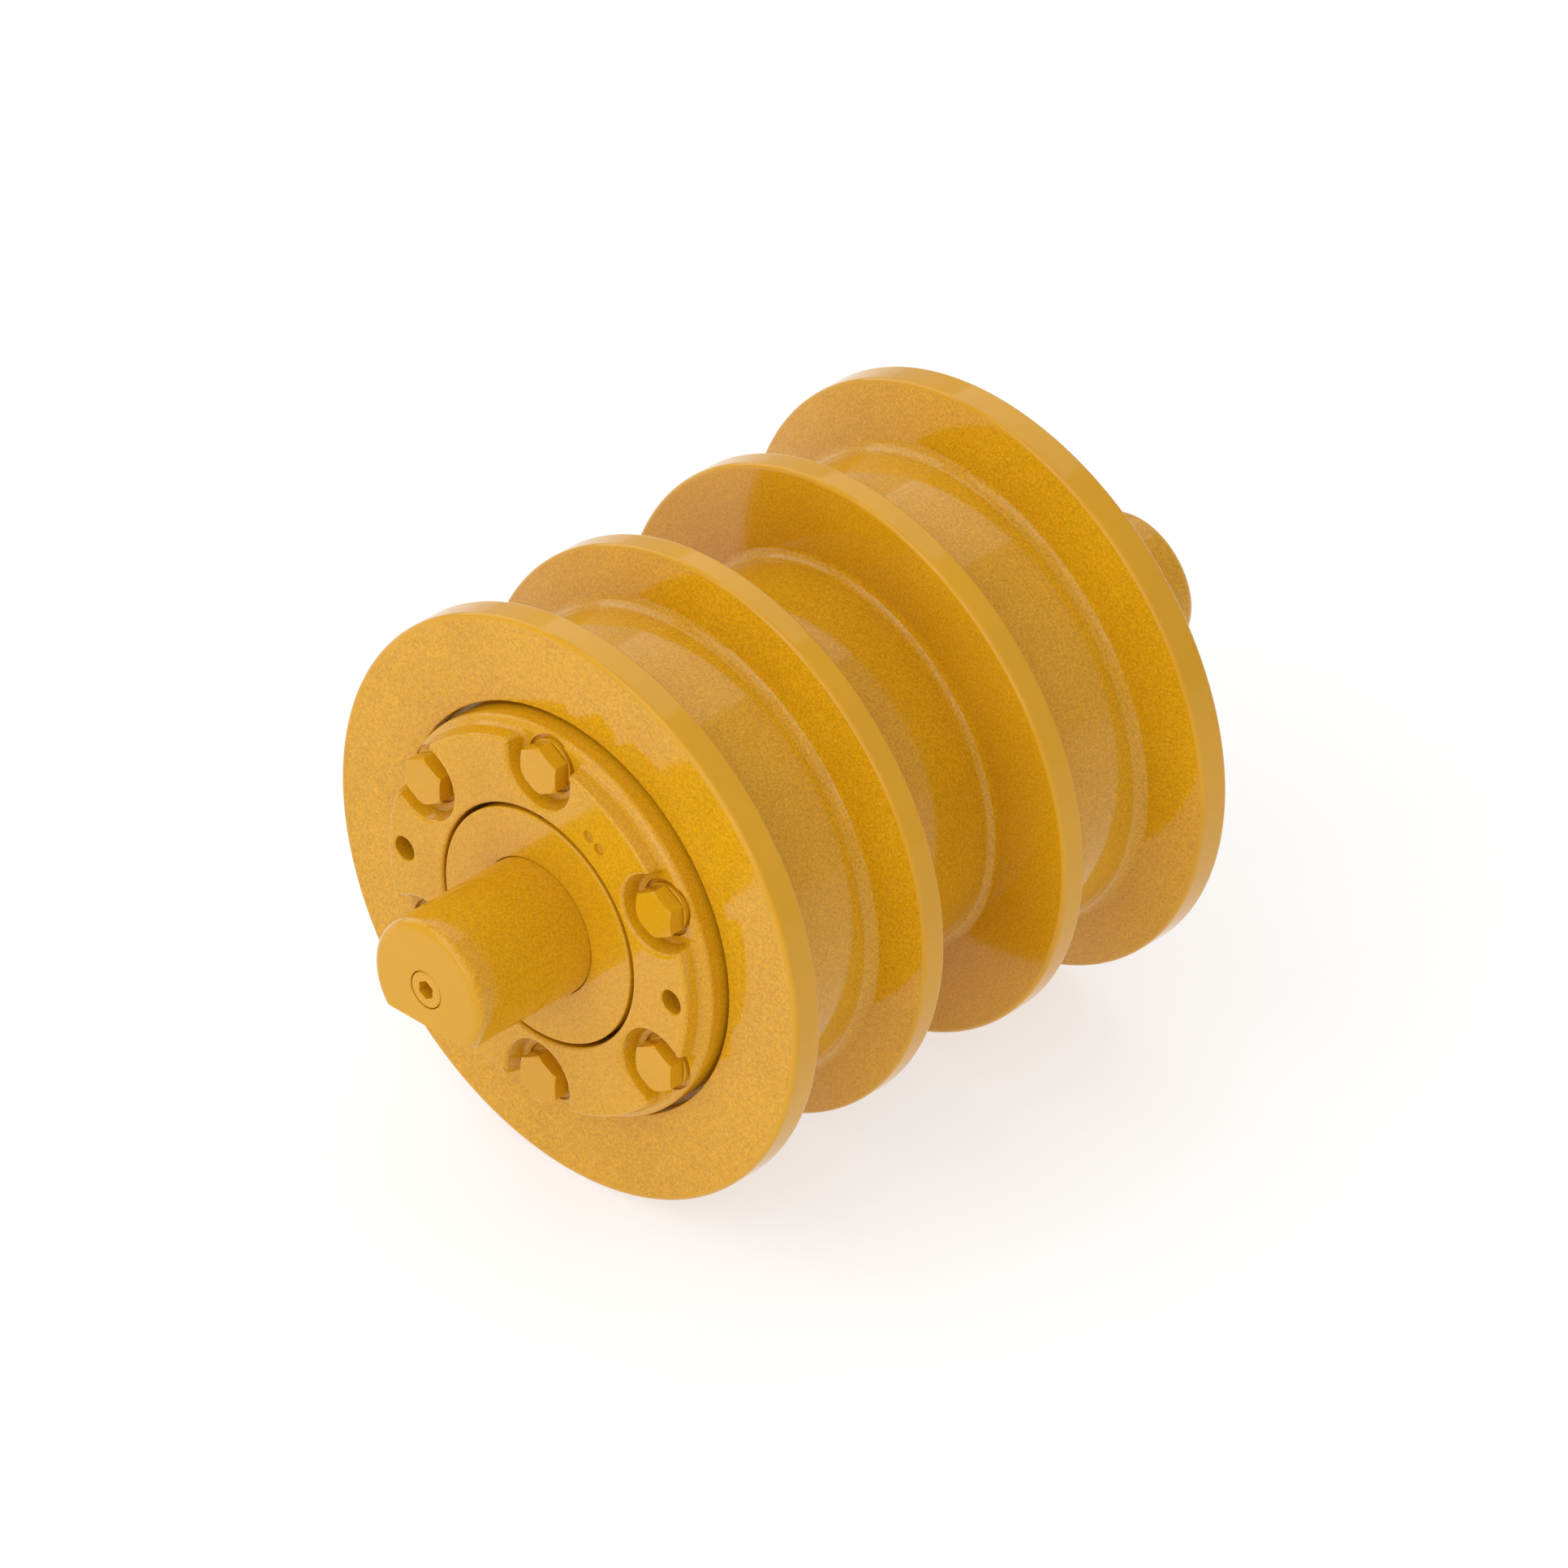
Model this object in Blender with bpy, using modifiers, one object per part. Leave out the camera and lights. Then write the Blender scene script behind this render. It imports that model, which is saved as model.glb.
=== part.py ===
"""Track roller: a four-flange shell that turns on a fixed shaft, with bolted retainers and face seals.

Every piece is drawn about the local Z axis, which two empties turn onto world +Y, the spin axis.
Local +Z is the roller's rear and local -Z its front, with the oil plug. Local +Y is world -Z, where the
flats of the shaft face. All sizes are in metres.
"""

import math

import bmesh
import bpy
from mathutils import Matrix, Vector

# Clearances and facets
TOUCH = 0.0003  # gap between pieces that touch, or that run on each other
ROUND = 36  # facets round a turned piece
RING_ROUND = 24  # facets round a sealed ring that nothing fits tightly
HOLE_ROUND = 12  # facets round a hole, a bolt shank or a pin
BOSS_ROUND = 24  # facets round a bolt's seat boss
POCKET_ROUND = 8  # facets round the half circle of a bolt pocket
FILLET_STEPS = 2
SECTION_SIDES = 6  # of a rubber ring's section
SHARP_ANGLE = math.radians(32)  # edges that bend more than this stay sharp
OVERSHOOT = 0.010  # how far a cutter runs past the faces that it opens

# Roller shell
SHELL_WIDTH = 0.346
TREAD_RADIUS = 0.1453
OUTER_FLANGE_HEIGHT = 0.0372  # above the tread
INNER_FLANGE_HEIGHT = 0.0317
WAIST_DEPTH = 0.0253  # of the waist's surface below the tread
OUTER_RIM_WIDTH = 0.0194
INNER_RIM_WIDTH = 0.0165
CENTRE_GROOVE_WIDTH = 0.0948  # between the two inner flanges
FLANGE_TAPER = math.radians(20)  # lean of the flange sides that face a tread
TREAD_FILLET = 0.0145
WAIST_FILLET = 0.0140
RIM_CHAMFER = 0.0026
RECESS_DEPTH = 0.0100

# Shaft
SHAFT_LENGTH = 0.575
SHAFT_END_RADIUS = 0.0428
JOURNAL_STEP = 0.0032  # journal radius less end radius
THRUST_COLLAR_HEIGHT = 0.0180  # of the shaft's central collar above the journal
THRUST_COLLAR_WIDTH = 0.0240
FLAT_HEIGHT = 0.0245  # from the axis to the flats
FLAT_SHOULDER = 0.0117  # full round of the shaft between a collar's face and a flat
END_CHAMFER = 0.0040
GALLERY_RADIUS = 0.0080
GALLERY_PAST_CENTRE = 0.0150
CROSS_HOLE_RADIUS = 0.0050

# Oil plug
PLUG_RADIUS = 0.0115
PLUG_LENGTH = 0.0150
PLUG_SET_BACK = 0.0004  # of its face below the shaft's end
PLUG_CHAMFER = 0.0010
SOCKET_FLATS = 0.0107
SOCKET_DEPTH = 0.0080
PLUG_SEAL_THICKNESS = 0.0015

# Bushings
BUSHING_WALL = 0.0074
BUSHING_FLANGE_HEIGHT = 0.0160  # above its sleeve
BUSHING_FLANGE_WIDTH = 0.0080
BUSHING_SET_BACK = 0.0080  # of its outer end from the seal cavity

# Face seals. Distances along the axis are from the plane where the two metal rings meet.
SEAL_BORE_GAP = 0.0070  # between the journal and the metal rings
SEAL_FACE_HEIGHT = 0.0140  # radial height of a ring's face
SEAL_FACE_THICKNESS = 0.0040
SEAL_RING_WIDTH = 0.0120
SEAL_RAMP_TOP = 0.0085  # height of a ring's ramp beside its face, and at its back
SEAL_RAMP_END = 0.0055
TORIC_RADIUS = 0.0044  # of the rubber's section
TORIC_PLACE = 0.0094
TORIC_GAP = 0.0008  # round the rubber, to its ring and its housing
HOUSING_MOUTH = 0.0015
HOUSING_DEPTH = 0.0150
HOUSING_RAMP = 0.0014  # how much a housing narrows from its mouth to its floor

# Stationary end collars
COLLAR_LIP = 0.0026  # wall round the seal housing
COLLAR_WALL = 0.0198  # between the seal housing and the outer face
COLLAR_HUB_LENGTH = 0.0275
COLLAR_HUB_WALL = 0.0092
COLLAR_CHAMFER = 0.0010
PIN_RADIUS = 0.0030
PIN_SET_BACK = 0.0060  # of its centre line from the collar's face
PIN_IN_SHAFT = 0.0120
PIN_BELOW_COLLAR = 0.0010

# O-rings and their grooves
O_RING_RADIUS = 0.0015
GROOVE_WIDTH = 0.0054
GROOVE_DEPTH = 0.0043
COLLAR_GROOVE_SET_BACK = 0.0145  # from the collar's face to the middle of the groove
RETAINER_GROOVE_SET_BACK = 0.0300  # from the retainer's seat

# Retainers
COLLAR_GAP = 0.0023  # between the turning retainer and the fixed collar
RETAINER_BORE_LIP = 0.0018
SPIGOT_WALL = 0.0067  # round the seal housing
PAD_PROUD = 0.0248  # of the pads over the shell's end face
PAD_EDGE = 0.0125  # from the bolt circle to the pads' outer edge
PAD_DRAFT = 0.0015
PAD_CHAMFER = 0.0012
RETAINER_EDGE = 0.0190  # from the bolt circle to the retainer's outer edge
RETAINER_EDGE_PROUD = 0.0020  # of the outer edge over the shell's end face
RETAINER_EDGE_SLOPE = 0.0035
RECESS_GAP = 0.0028  # round the retainer in the shell's recess
JACK_HOLE_RADIUS = 0.0075
JACK_HOLE_ANGLES = (0, 180)  # degrees

# Retainer bolts
BOLT_COUNT = 6
FIRST_BOLT_ANGLE = 30  # degrees
BOLT_RADIUS = 0.0095
BOLT_HOLE_GAP = 0.0008
HEAD_FLATS = 0.0286
HEAD_HEIGHT = 0.0120
THREAD_DEPTH = 0.0330  # of the bolt in the shell
THREAD_RUN_OUT = 0.0060
WASHER_RADIUS = 0.0187
WASHER_THICKNESS = 0.0038
SEAT_BOSS_MARGIN = 0.0006  # of the seat boss inside the retainer's edge
POCKET_RADIUS = 0.0230
POCKET_DEPTH = 0.0167
POCKET_LAND = 0.0076  # between a pocket and the retainer's bore

# Radii, from the shaft outwards
PIN_FOOT = SHAFT_END_RADIUS - PIN_IN_SHAFT
COLLAR_BORE = SHAFT_END_RADIUS + TOUCH
JOURNAL_RADIUS = SHAFT_END_RADIUS + JOURNAL_STEP
THRUST_COLLAR_RADIUS = JOURNAL_RADIUS + THRUST_COLLAR_HEIGHT
BUSHING_BORE = JOURNAL_RADIUS + TOUCH
BUSHING_RADIUS = BUSHING_BORE + BUSHING_WALL
BUSHING_FLANGE_RADIUS = BUSHING_RADIUS + BUSHING_FLANGE_HEIGHT
SEAL_BORE = JOURNAL_RADIUS + SEAL_BORE_GAP
TORIC_RAMP = SEAL_RAMP_TOP + (SEAL_RAMP_END - SEAL_RAMP_TOP) * (
    (TORIC_PLACE - SEAL_FACE_THICKNESS) / (SEAL_RING_WIDTH - SEAL_FACE_THICKNESS)
)  # height of the ring's ramp under the middle of the rubber
TORIC_CENTRE = SEAL_BORE + TORIC_RAMP + TORIC_GAP + TORIC_RADIUS
HOUSING_FLOOR_RADIUS = TORIC_CENTRE + TORIC_RADIUS + TORIC_GAP
HOUSING_RADIUS = HOUSING_FLOOR_RADIUS + HOUSING_RAMP
COLLAR_RADIUS = HOUSING_RADIUS + COLLAR_LIP
RETAINER_BORE = COLLAR_RADIUS + COLLAR_GAP
SPIGOT_RADIUS = HOUSING_RADIUS + SPIGOT_WALL
SHELL_BORE = SPIGOT_RADIUS + TOUCH
BOLT_CIRCLE = RETAINER_BORE + POCKET_LAND + POCKET_RADIUS
PAD_RADIUS = BOLT_CIRCLE + PAD_EDGE
RETAINER_RADIUS = BOLT_CIRCLE + RETAINER_EDGE
RECESS_RADIUS = RETAINER_RADIUS + RECESS_GAP
SEAT_BOSS_RADIUS = RETAINER_EDGE - SEAT_BOSS_MARGIN

# Places along the axis, from the middle outwards
THRUST_FACE = THRUST_COLLAR_WIDTH / 2
BUSHING_INNER_END = THRUST_FACE + TOUCH
RETAINER_INNER_END = BUSHING_INNER_END + BUSHING_FLANGE_WIDTH + TOUCH
SHELL_END = SHELL_WIDTH / 2
RECESS_FLOOR = SHELL_END - RECESS_DEPTH
RETAINER_SEAT = RECESS_FLOOR + TOUCH
PAD_FACE = SHELL_END + PAD_PROUD
POCKET_FLOOR = PAD_FACE - POCKET_DEPTH
SEAL_PLANE = PAD_FACE - COLLAR_WALL - HOUSING_DEPTH
BUSHING_OUTER_END = SEAL_PLANE - HOUSING_DEPTH - BUSHING_SET_BACK
COLLAR_INNER_END = PAD_FACE - COLLAR_HUB_LENGTH
JOURNAL_END = COLLAR_INNER_END - TOUCH
SHAFT_END = SHAFT_LENGTH / 2
FLAT_START = PAD_FACE + FLAT_SHOULDER

# Material name: colour, roughness, metallic
FINISHES = {
    "enamel_on_forging": ((0.77, 0.41, 0.05, 1), 0.38, 0.0),
    "enamel_on_casting": ((0.74, 0.38, 0.04, 1), 0.42, 0.0),
    "enamel_on_shaft": ((0.70, 0.35, 0.03, 1), 0.40, 0.0),
    "enamel_on_fastener": ((0.80, 0.44, 0.07, 1), 0.36, 0.0),
    "bronze": ((0.55, 0.33, 0.12, 1), 0.30, 1.0),
    "lapped_iron": ((0.42, 0.42, 0.44, 1), 0.18, 1.0),
    "pin_steel": ((0.50, 0.50, 0.52, 1), 0.35, 1.0),
    "nitrile_rubber": ((0.02, 0.02, 0.02, 1), 0.60, 0.0),
}
SIDES = {"rear": 1, "front": -1}


def clear_scene():
    for obj in list(bpy.data.objects):
        bpy.data.objects.remove(obj, do_unlink=True)


def new_collection(name):
    collection = bpy.data.collections.new(name)
    bpy.context.scene.collection.children.link(collection)
    return collection


def make_finish(name):
    colour, roughness, metallic = FINISHES[name]
    material = bpy.data.materials.new(name)
    material.use_nodes = True
    shader = material.node_tree.nodes["Principled BSDF"]
    shader.inputs["Base Color"].default_value = colour
    shader.inputs["Roughness"].default_value = roughness
    shader.inputs["Metallic"].default_value = metallic
    material.diffuse_color = colour
    return material


def make_body(name):
    """An empty at the roller's centre whose local Z is the spin axis."""
    empty = bpy.data.objects.new(name, None)
    empty.empty_display_type = "ARROWS"
    empty.empty_display_size = SHELL_END
    empty.rotation_euler = (math.radians(-90), 0, 0)
    parts.objects.link(empty)
    return empty


def side_turn(side):
    """The half turn about local X that carries a rear piece to the front."""
    return Matrix.Rotation(0 if SIDES[side] > 0 else math.pi, 4, "X")


def shade_round(mesh):
    mesh.shade_smooth()
    mesh.set_sharp_from_angle(angle=SHARP_ANGLE)


def turned_mesh(name, profile, facets, is_ring=True):
    """A turned solid from its (radius, height) points, which run down its outer side."""
    outline = bpy.data.meshes.new(name)
    edges = [(i, i + 1) for i in range(len(profile) - 1)]
    if is_ring:
        edges.append((len(profile) - 1, 0))
    outline.from_pydata([(radius, 0, height) for radius, height in profile], edges, [])
    blank = bpy.data.objects.new(name, outline)
    parts.objects.link(blank)
    screw = blank.modifiers.new("turn", "SCREW")
    screw.steps = screw.render_steps = facets
    screw.use_merge_vertices = True
    screw.merge_threshold = 0.00001
    bpy.context.view_layer.update()
    solid = bpy.data.meshes.new_from_object(blank.evaluated_get(bpy.context.evaluated_depsgraph_get()))
    bpy.data.objects.remove(blank)
    bpy.data.meshes.remove(outline)
    solid.name = name
    shade_round(solid)
    return solid


def rod(facets, radius, low, high, centre=(0, 0), turn=0):
    """A cylinder along local Z, from low to high, turned about its own axis."""
    return {"facets": facets, "radius": radius, "low": low, "high": high, "centre": centre, "turn": turn}


def rods_mesh(name, *rods):
    """Separate cylinders in one mesh."""
    shape = bmesh.new()
    for one in rods:
        middle = Matrix.Translation((*one["centre"], (one["low"] + one["high"]) / 2))
        bmesh.ops.create_cone(
            shape,
            cap_ends=True,
            segments=one["facets"],
            radius1=one["radius"],
            radius2=one["radius"],
            depth=one["high"] - one["low"],
            matrix=middle @ Matrix.Rotation(one["turn"], 4, "Z"),
        )
    mesh = bpy.data.meshes.new(name)
    shape.to_mesh(mesh)
    shape.free()
    return mesh


def hexagon_rod(flats, low, high):
    return rod(6, flats / 2 / math.cos(math.radians(30)), low, high)


def add_piece(name, mesh, finish, body, side="rear"):
    piece = bpy.data.objects.new(name, mesh)
    if not mesh.materials:
        mesh.materials.append(finishes[finish])
    piece.parent = body
    piece.matrix_local = side_turn(side)
    parts.objects.link(piece)
    return piece


def add_cutter(name, mesh, side="rear"):
    cutter = bpy.data.objects.new(name, mesh)
    cutter.parent = axle
    cutter.matrix_local = side_turn(side)
    cutter.hide_render = True
    cutter.display_type = "WIRE"
    cutters.objects.link(cutter)
    return cutter


def combine(piece, cutter, operation="DIFFERENCE"):
    modifier = piece.modifiers.new(cutter.name, "BOOLEAN")
    modifier.operation = operation
    modifier.object = cutter


def bolt_places():
    for i in range(BOLT_COUNT):
        angle = math.radians(FIRST_BOLT_ANGLE + 360 / BOLT_COUNT * i)
        yield angle, Vector((BOLT_CIRCLE * math.cos(angle), BOLT_CIRCLE * math.sin(angle)))


def arc(centre, radius, start, end, steps):
    """Points (radius, height) on an arc. The angle is in degrees from outwards towards the rear."""
    for i in range(steps + 1):
        angle = math.radians(start + (end - start) * i / steps)
        yield centre[0] + radius * math.cos(angle), centre[1] + radius * math.sin(angle)


def tread_fillet(rim_radius, rim_place, way):
    """The fillet from a leaning flange side to the tread. way is 1 where the flange is nearer the rear."""
    centre_radius = TREAD_RADIUS + TREAD_FILLET
    side_radius = centre_radius - TREAD_FILLET * math.sin(FLANGE_TAPER)
    side_place = rim_place - way * (rim_radius - side_radius) * math.tan(FLANGE_TAPER)
    centre = (centre_radius, side_place - way * TREAD_FILLET * math.cos(FLANGE_TAPER))
    lean = 90 + math.degrees(FLANGE_TAPER)
    return list(arc(centre, TREAD_FILLET, way * lean, way * 180, FILLET_STEPS))


def rim(radius, inner, outer):
    """A flange's rim between two places, the outer one first, with chamfered edges."""
    return [
        (radius - RIM_CHAMFER, outer),
        (radius, outer - RIM_CHAMFER),
        (radius, inner + RIM_CHAMFER),
        (radius - RIM_CHAMFER, inner),
    ]


def shell_half_profile():
    """The shell's outside from its rear end down to its middle."""
    outer_radius = TREAD_RADIUS + OUTER_FLANGE_HEIGHT
    inner_radius = TREAD_RADIUS + INNER_FLANGE_HEIGHT
    waist_radius = TREAD_RADIUS - WAIST_DEPTH
    outer_rim_start = SHELL_END - OUTER_RIM_WIDTH
    groove_side = CENTRE_GROOVE_WIDTH / 2
    inner_rim_end = groove_side + INNER_RIM_WIDTH
    waist_centre = (waist_radius + WAIST_FILLET, groove_side - WAIST_FILLET)
    return [
        (SHELL_BORE, RECESS_FLOOR),
        (RECESS_RADIUS, RECESS_FLOOR),
        (RECESS_RADIUS, SHELL_END),
        *rim(outer_radius, outer_rim_start, SHELL_END),
        *tread_fillet(outer_radius, outer_rim_start, 1),
        *reversed(tread_fillet(inner_radius, inner_rim_end, -1)),
        *rim(inner_radius, groove_side, inner_rim_end),
        *arc(waist_centre, WAIST_FILLET, 90, 180, FILLET_STEPS),
    ]


def make_roller_shell():
    half = shell_half_profile()
    profile = half + [(radius, -height) for radius, height in reversed(half)]
    mesh = turned_mesh("roller_shell", profile, ROUND)
    shell = add_piece("roller_shell", mesh, "enamel_on_forging", roller)
    bottom = RECESS_FLOOR - THREAD_DEPTH - THREAD_RUN_OUT
    holes = [
        rod(HOLE_ROUND, BOLT_RADIUS + TOUCH, bottom, SHELL_END, place, angle)
        for angle, place in bolt_places()
    ]
    mesh = rods_mesh("thread_cutter", *holes)
    for side in SIDES:
        combine(shell, add_cutter("thread_cutter_" + side, mesh, side))


def shaft_profile():
    half = [
        (SHAFT_END_RADIUS - END_CHAMFER, SHAFT_END),
        (SHAFT_END_RADIUS, SHAFT_END - END_CHAMFER),
        (SHAFT_END_RADIUS, JOURNAL_END),
        (JOURNAL_RADIUS, JOURNAL_END),
        (JOURNAL_RADIUS, THRUST_FACE),
        (THRUST_COLLAR_RADIUS, THRUST_FACE),
    ]
    other_half = [(radius, -height) for radius, height in reversed(half)]
    return [(0, SHAFT_END), *half, *other_half, (0, -SHAFT_END)]


def make_shaft():
    mesh = turned_mesh("shaft", shaft_profile(), ROUND, is_ring=False)
    shaft = add_piece("shaft", mesh, "enamel_on_shaft", axle)

    plug_seat = SHAFT_END - PLUG_SET_BACK - PLUG_LENGTH - TOUCH - PLUG_SEAL_THICKNESS - TOUCH
    gallery = [
        (0, SHAFT_END + OVERSHOOT),
        (PLUG_RADIUS + TOUCH, SHAFT_END + OVERSHOOT),
        (PLUG_RADIUS + TOUCH, plug_seat),
        (GALLERY_RADIUS, plug_seat),
        (GALLERY_RADIUS, -GALLERY_PAST_CENTRE),
        (0, -GALLERY_PAST_CENTRE),
    ]
    cutter_mesh = turned_mesh("gallery_cutter", gallery, RING_ROUND, is_ring=False)
    combine(shaft, add_cutter("gallery_cutter", cutter_mesh, "front"))

    reach = THRUST_COLLAR_RADIUS + OVERSHOOT
    cross_rod = rod(HOLE_ROUND, CROSS_HOLE_RADIUS, -reach, reach)
    cross_hole = add_cutter("cross_hole_cutter", rods_mesh("cross_hole_cutter", cross_rod))
    cross_hole.matrix_local = Matrix.Rotation(math.radians(90), 4, "Y")
    combine(shaft, cross_hole)

    block = bmesh.new()
    width = 2 * (SHAFT_END_RADIUS + OVERSHOOT)
    run_out = SHAFT_END + OVERSHOOT
    bmesh.ops.create_cube(block, size=1)
    bmesh.ops.scale(block, vec=(width, width, run_out - FLAT_START), verts=block.verts)
    middle = (0, FLAT_HEIGHT + width / 2, (run_out + FLAT_START) / 2)
    bmesh.ops.translate(block, vec=middle, verts=block.verts)
    pin_hole = rods_mesh("shaft_pin_cutter", rod(HOLE_ROUND, PIN_RADIUS + TOUCH, PIN_FOOT - TOUCH, reach))
    for side, sign in SIDES.items():
        flat = bpy.data.meshes.new("flat_cutter_" + side)
        block.to_mesh(flat)
        cutter = add_cutter("flat_cutter_" + side, flat)
        cutter.matrix_local = Matrix.Rotation(0 if sign > 0 else math.pi, 4, "Y")
        combine(shaft, cutter)
        combine(shaft, add_pin_cutter("shaft_pin_cutter_" + side, pin_hole, side))
    block.free()


def pin_turn(side):
    """Stands a rod that is drawn along local Z on the shaft's top, where a collar's pin goes."""
    place = SIDES[side] * (PAD_FACE - PIN_SET_BACK)
    return Matrix.Translation((0, 0, place)) @ Matrix.Rotation(math.radians(90), 4, "X")


def add_pin_cutter(name, mesh, side):
    cutter = add_cutter(name, mesh)
    cutter.matrix_local = pin_turn(side)
    return cutter


def make_oil_plug():
    top = SHAFT_END - PLUG_SET_BACK
    bottom = top - PLUG_LENGTH
    profile = [
        (0, top),
        (PLUG_RADIUS - PLUG_CHAMFER, top),
        (PLUG_RADIUS, top - PLUG_CHAMFER),
        (PLUG_RADIUS, bottom),
        (0, bottom),
    ]
    mesh = turned_mesh("oil_plug", profile, RING_ROUND, is_ring=False)
    plug = add_piece("oil_plug", mesh, "enamel_on_fastener", axle, "front")
    socket = hexagon_rod(SOCKET_FLATS, top - SOCKET_DEPTH, top + OVERSHOOT)
    combine(plug, add_cutter("socket_cutter", rods_mesh("socket_cutter", socket), "front"))

    seal_top = bottom - TOUCH
    seal = [
        (GALLERY_RADIUS + TOUCH, seal_top),
        (PLUG_RADIUS, seal_top),
        (PLUG_RADIUS, seal_top - PLUG_SEAL_THICKNESS),
        (GALLERY_RADIUS + TOUCH, seal_top - PLUG_SEAL_THICKNESS),
    ]
    seal_mesh = turned_mesh("oil_plug_seal", seal, RING_ROUND)
    add_piece("oil_plug_seal", seal_mesh, "nitrile_rubber", axle, "front")


def collar_profile():
    hub_radius = COLLAR_BORE + COLLAR_HUB_WALL
    groove_bottom = COLLAR_BORE + GROOVE_DEPTH
    groove = PAD_FACE - COLLAR_GROOVE_SET_BACK
    return [
        (COLLAR_BORE, PAD_FACE),
        (COLLAR_RADIUS - COLLAR_CHAMFER, PAD_FACE),
        (COLLAR_RADIUS, PAD_FACE - COLLAR_CHAMFER),
        (COLLAR_RADIUS, SEAL_PLANE + HOUSING_MOUTH),
        (HOUSING_RADIUS, SEAL_PLANE + HOUSING_MOUTH),
        (HOUSING_FLOOR_RADIUS, SEAL_PLANE + HOUSING_DEPTH),
        (hub_radius, SEAL_PLANE + HOUSING_DEPTH),
        (hub_radius, COLLAR_INNER_END),
        (COLLAR_BORE, COLLAR_INNER_END),
        (COLLAR_BORE, groove - GROOVE_WIDTH / 2),
        (groove_bottom, groove - GROOVE_WIDTH / 2),
        (groove_bottom, groove + GROOVE_WIDTH / 2),
        (COLLAR_BORE, groove + GROOVE_WIDTH / 2),
    ]


def make_collars():
    collar = turned_mesh("collar", collar_profile(), ROUND)
    pin = rods_mesh("collar_pin", rod(HOLE_ROUND, PIN_RADIUS, PIN_FOOT, COLLAR_RADIUS - PIN_BELOW_COLLAR))
    shade_round(pin)
    hole = rod(HOLE_ROUND, PIN_RADIUS + TOUCH, SHAFT_END_RADIUS, COLLAR_RADIUS + OVERSHOOT)
    hole_mesh = rods_mesh("collar_pin_cutter", hole)
    groove = PAD_FACE - COLLAR_GROOVE_SET_BACK
    o_ring = ring_mesh("collar_o_ring", COLLAR_BORE + GROOVE_DEPTH / 2, groove, O_RING_RADIUS)
    for side in SIDES:
        piece = add_piece("collar_" + side, collar, "enamel_on_casting", axle, side)
        combine(piece, add_pin_cutter("collar_pin_cutter_" + side, hole_mesh, side))
        add_piece("collar_pin_" + side, pin, "pin_steel", axle).matrix_local = pin_turn(side)
        add_piece("collar_o_ring_" + side, o_ring, "nitrile_rubber", axle, side)


def ring_mesh(name, radius, place, section_radius):
    """A rubber ring whose section is a polygon with a corner at the rear."""
    corner = 360 / SECTION_SIDES
    section = list(arc((radius, place), section_radius, 90, corner - 270, SECTION_SIDES - 1))
    return turned_mesh(name, section, RING_ROUND)


def seal_ring_profile(way):
    """A metal seal ring. way is 1 for the fixed one outside the seal plane, -1 for the turning one."""
    steps = [
        (SEAL_BORE, SEAL_RING_WIDTH),
        (SEAL_BORE + SEAL_RAMP_END, SEAL_RING_WIDTH),
        (SEAL_BORE + SEAL_RAMP_TOP, SEAL_FACE_THICKNESS),
        (SEAL_BORE + SEAL_FACE_HEIGHT, SEAL_FACE_THICKNESS),
        (SEAL_BORE + SEAL_FACE_HEIGHT, TOUCH / 2),
        (SEAL_BORE, TOUCH / 2),
    ]
    points = [(radius, SEAL_PLANE + way * step) for radius, step in steps]
    return points if way > 0 else points[::-1]


def make_face_seals():
    for kind, way, body in (("fixed", 1, axle), ("turning", -1, roller)):
        ring = turned_mesh(kind + "_seal_ring", seal_ring_profile(way), RING_ROUND)
        toric_place = SEAL_PLANE + way * TORIC_PLACE
        toric = ring_mesh(kind + "_seal_toric", TORIC_CENTRE, toric_place, TORIC_RADIUS)
        for side in SIDES:
            add_piece(f"{kind}_seal_ring_{side}", ring, "lapped_iron", body, side)
            add_piece(f"{kind}_seal_toric_{side}", toric, "nitrile_rubber", body, side)


def make_bushings():
    profile = [
        (BUSHING_BORE, BUSHING_OUTER_END),
        (BUSHING_RADIUS, BUSHING_OUTER_END),
        (BUSHING_RADIUS, BUSHING_INNER_END + BUSHING_FLANGE_WIDTH),
        (BUSHING_FLANGE_RADIUS, BUSHING_INNER_END + BUSHING_FLANGE_WIDTH),
        (BUSHING_FLANGE_RADIUS, BUSHING_INNER_END),
        (BUSHING_BORE, BUSHING_INNER_END),
    ]
    bushing = turned_mesh("bushing", profile, ROUND)
    for side in SIDES:
        add_piece("bushing_" + side, bushing, "bronze", roller, side)


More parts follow.
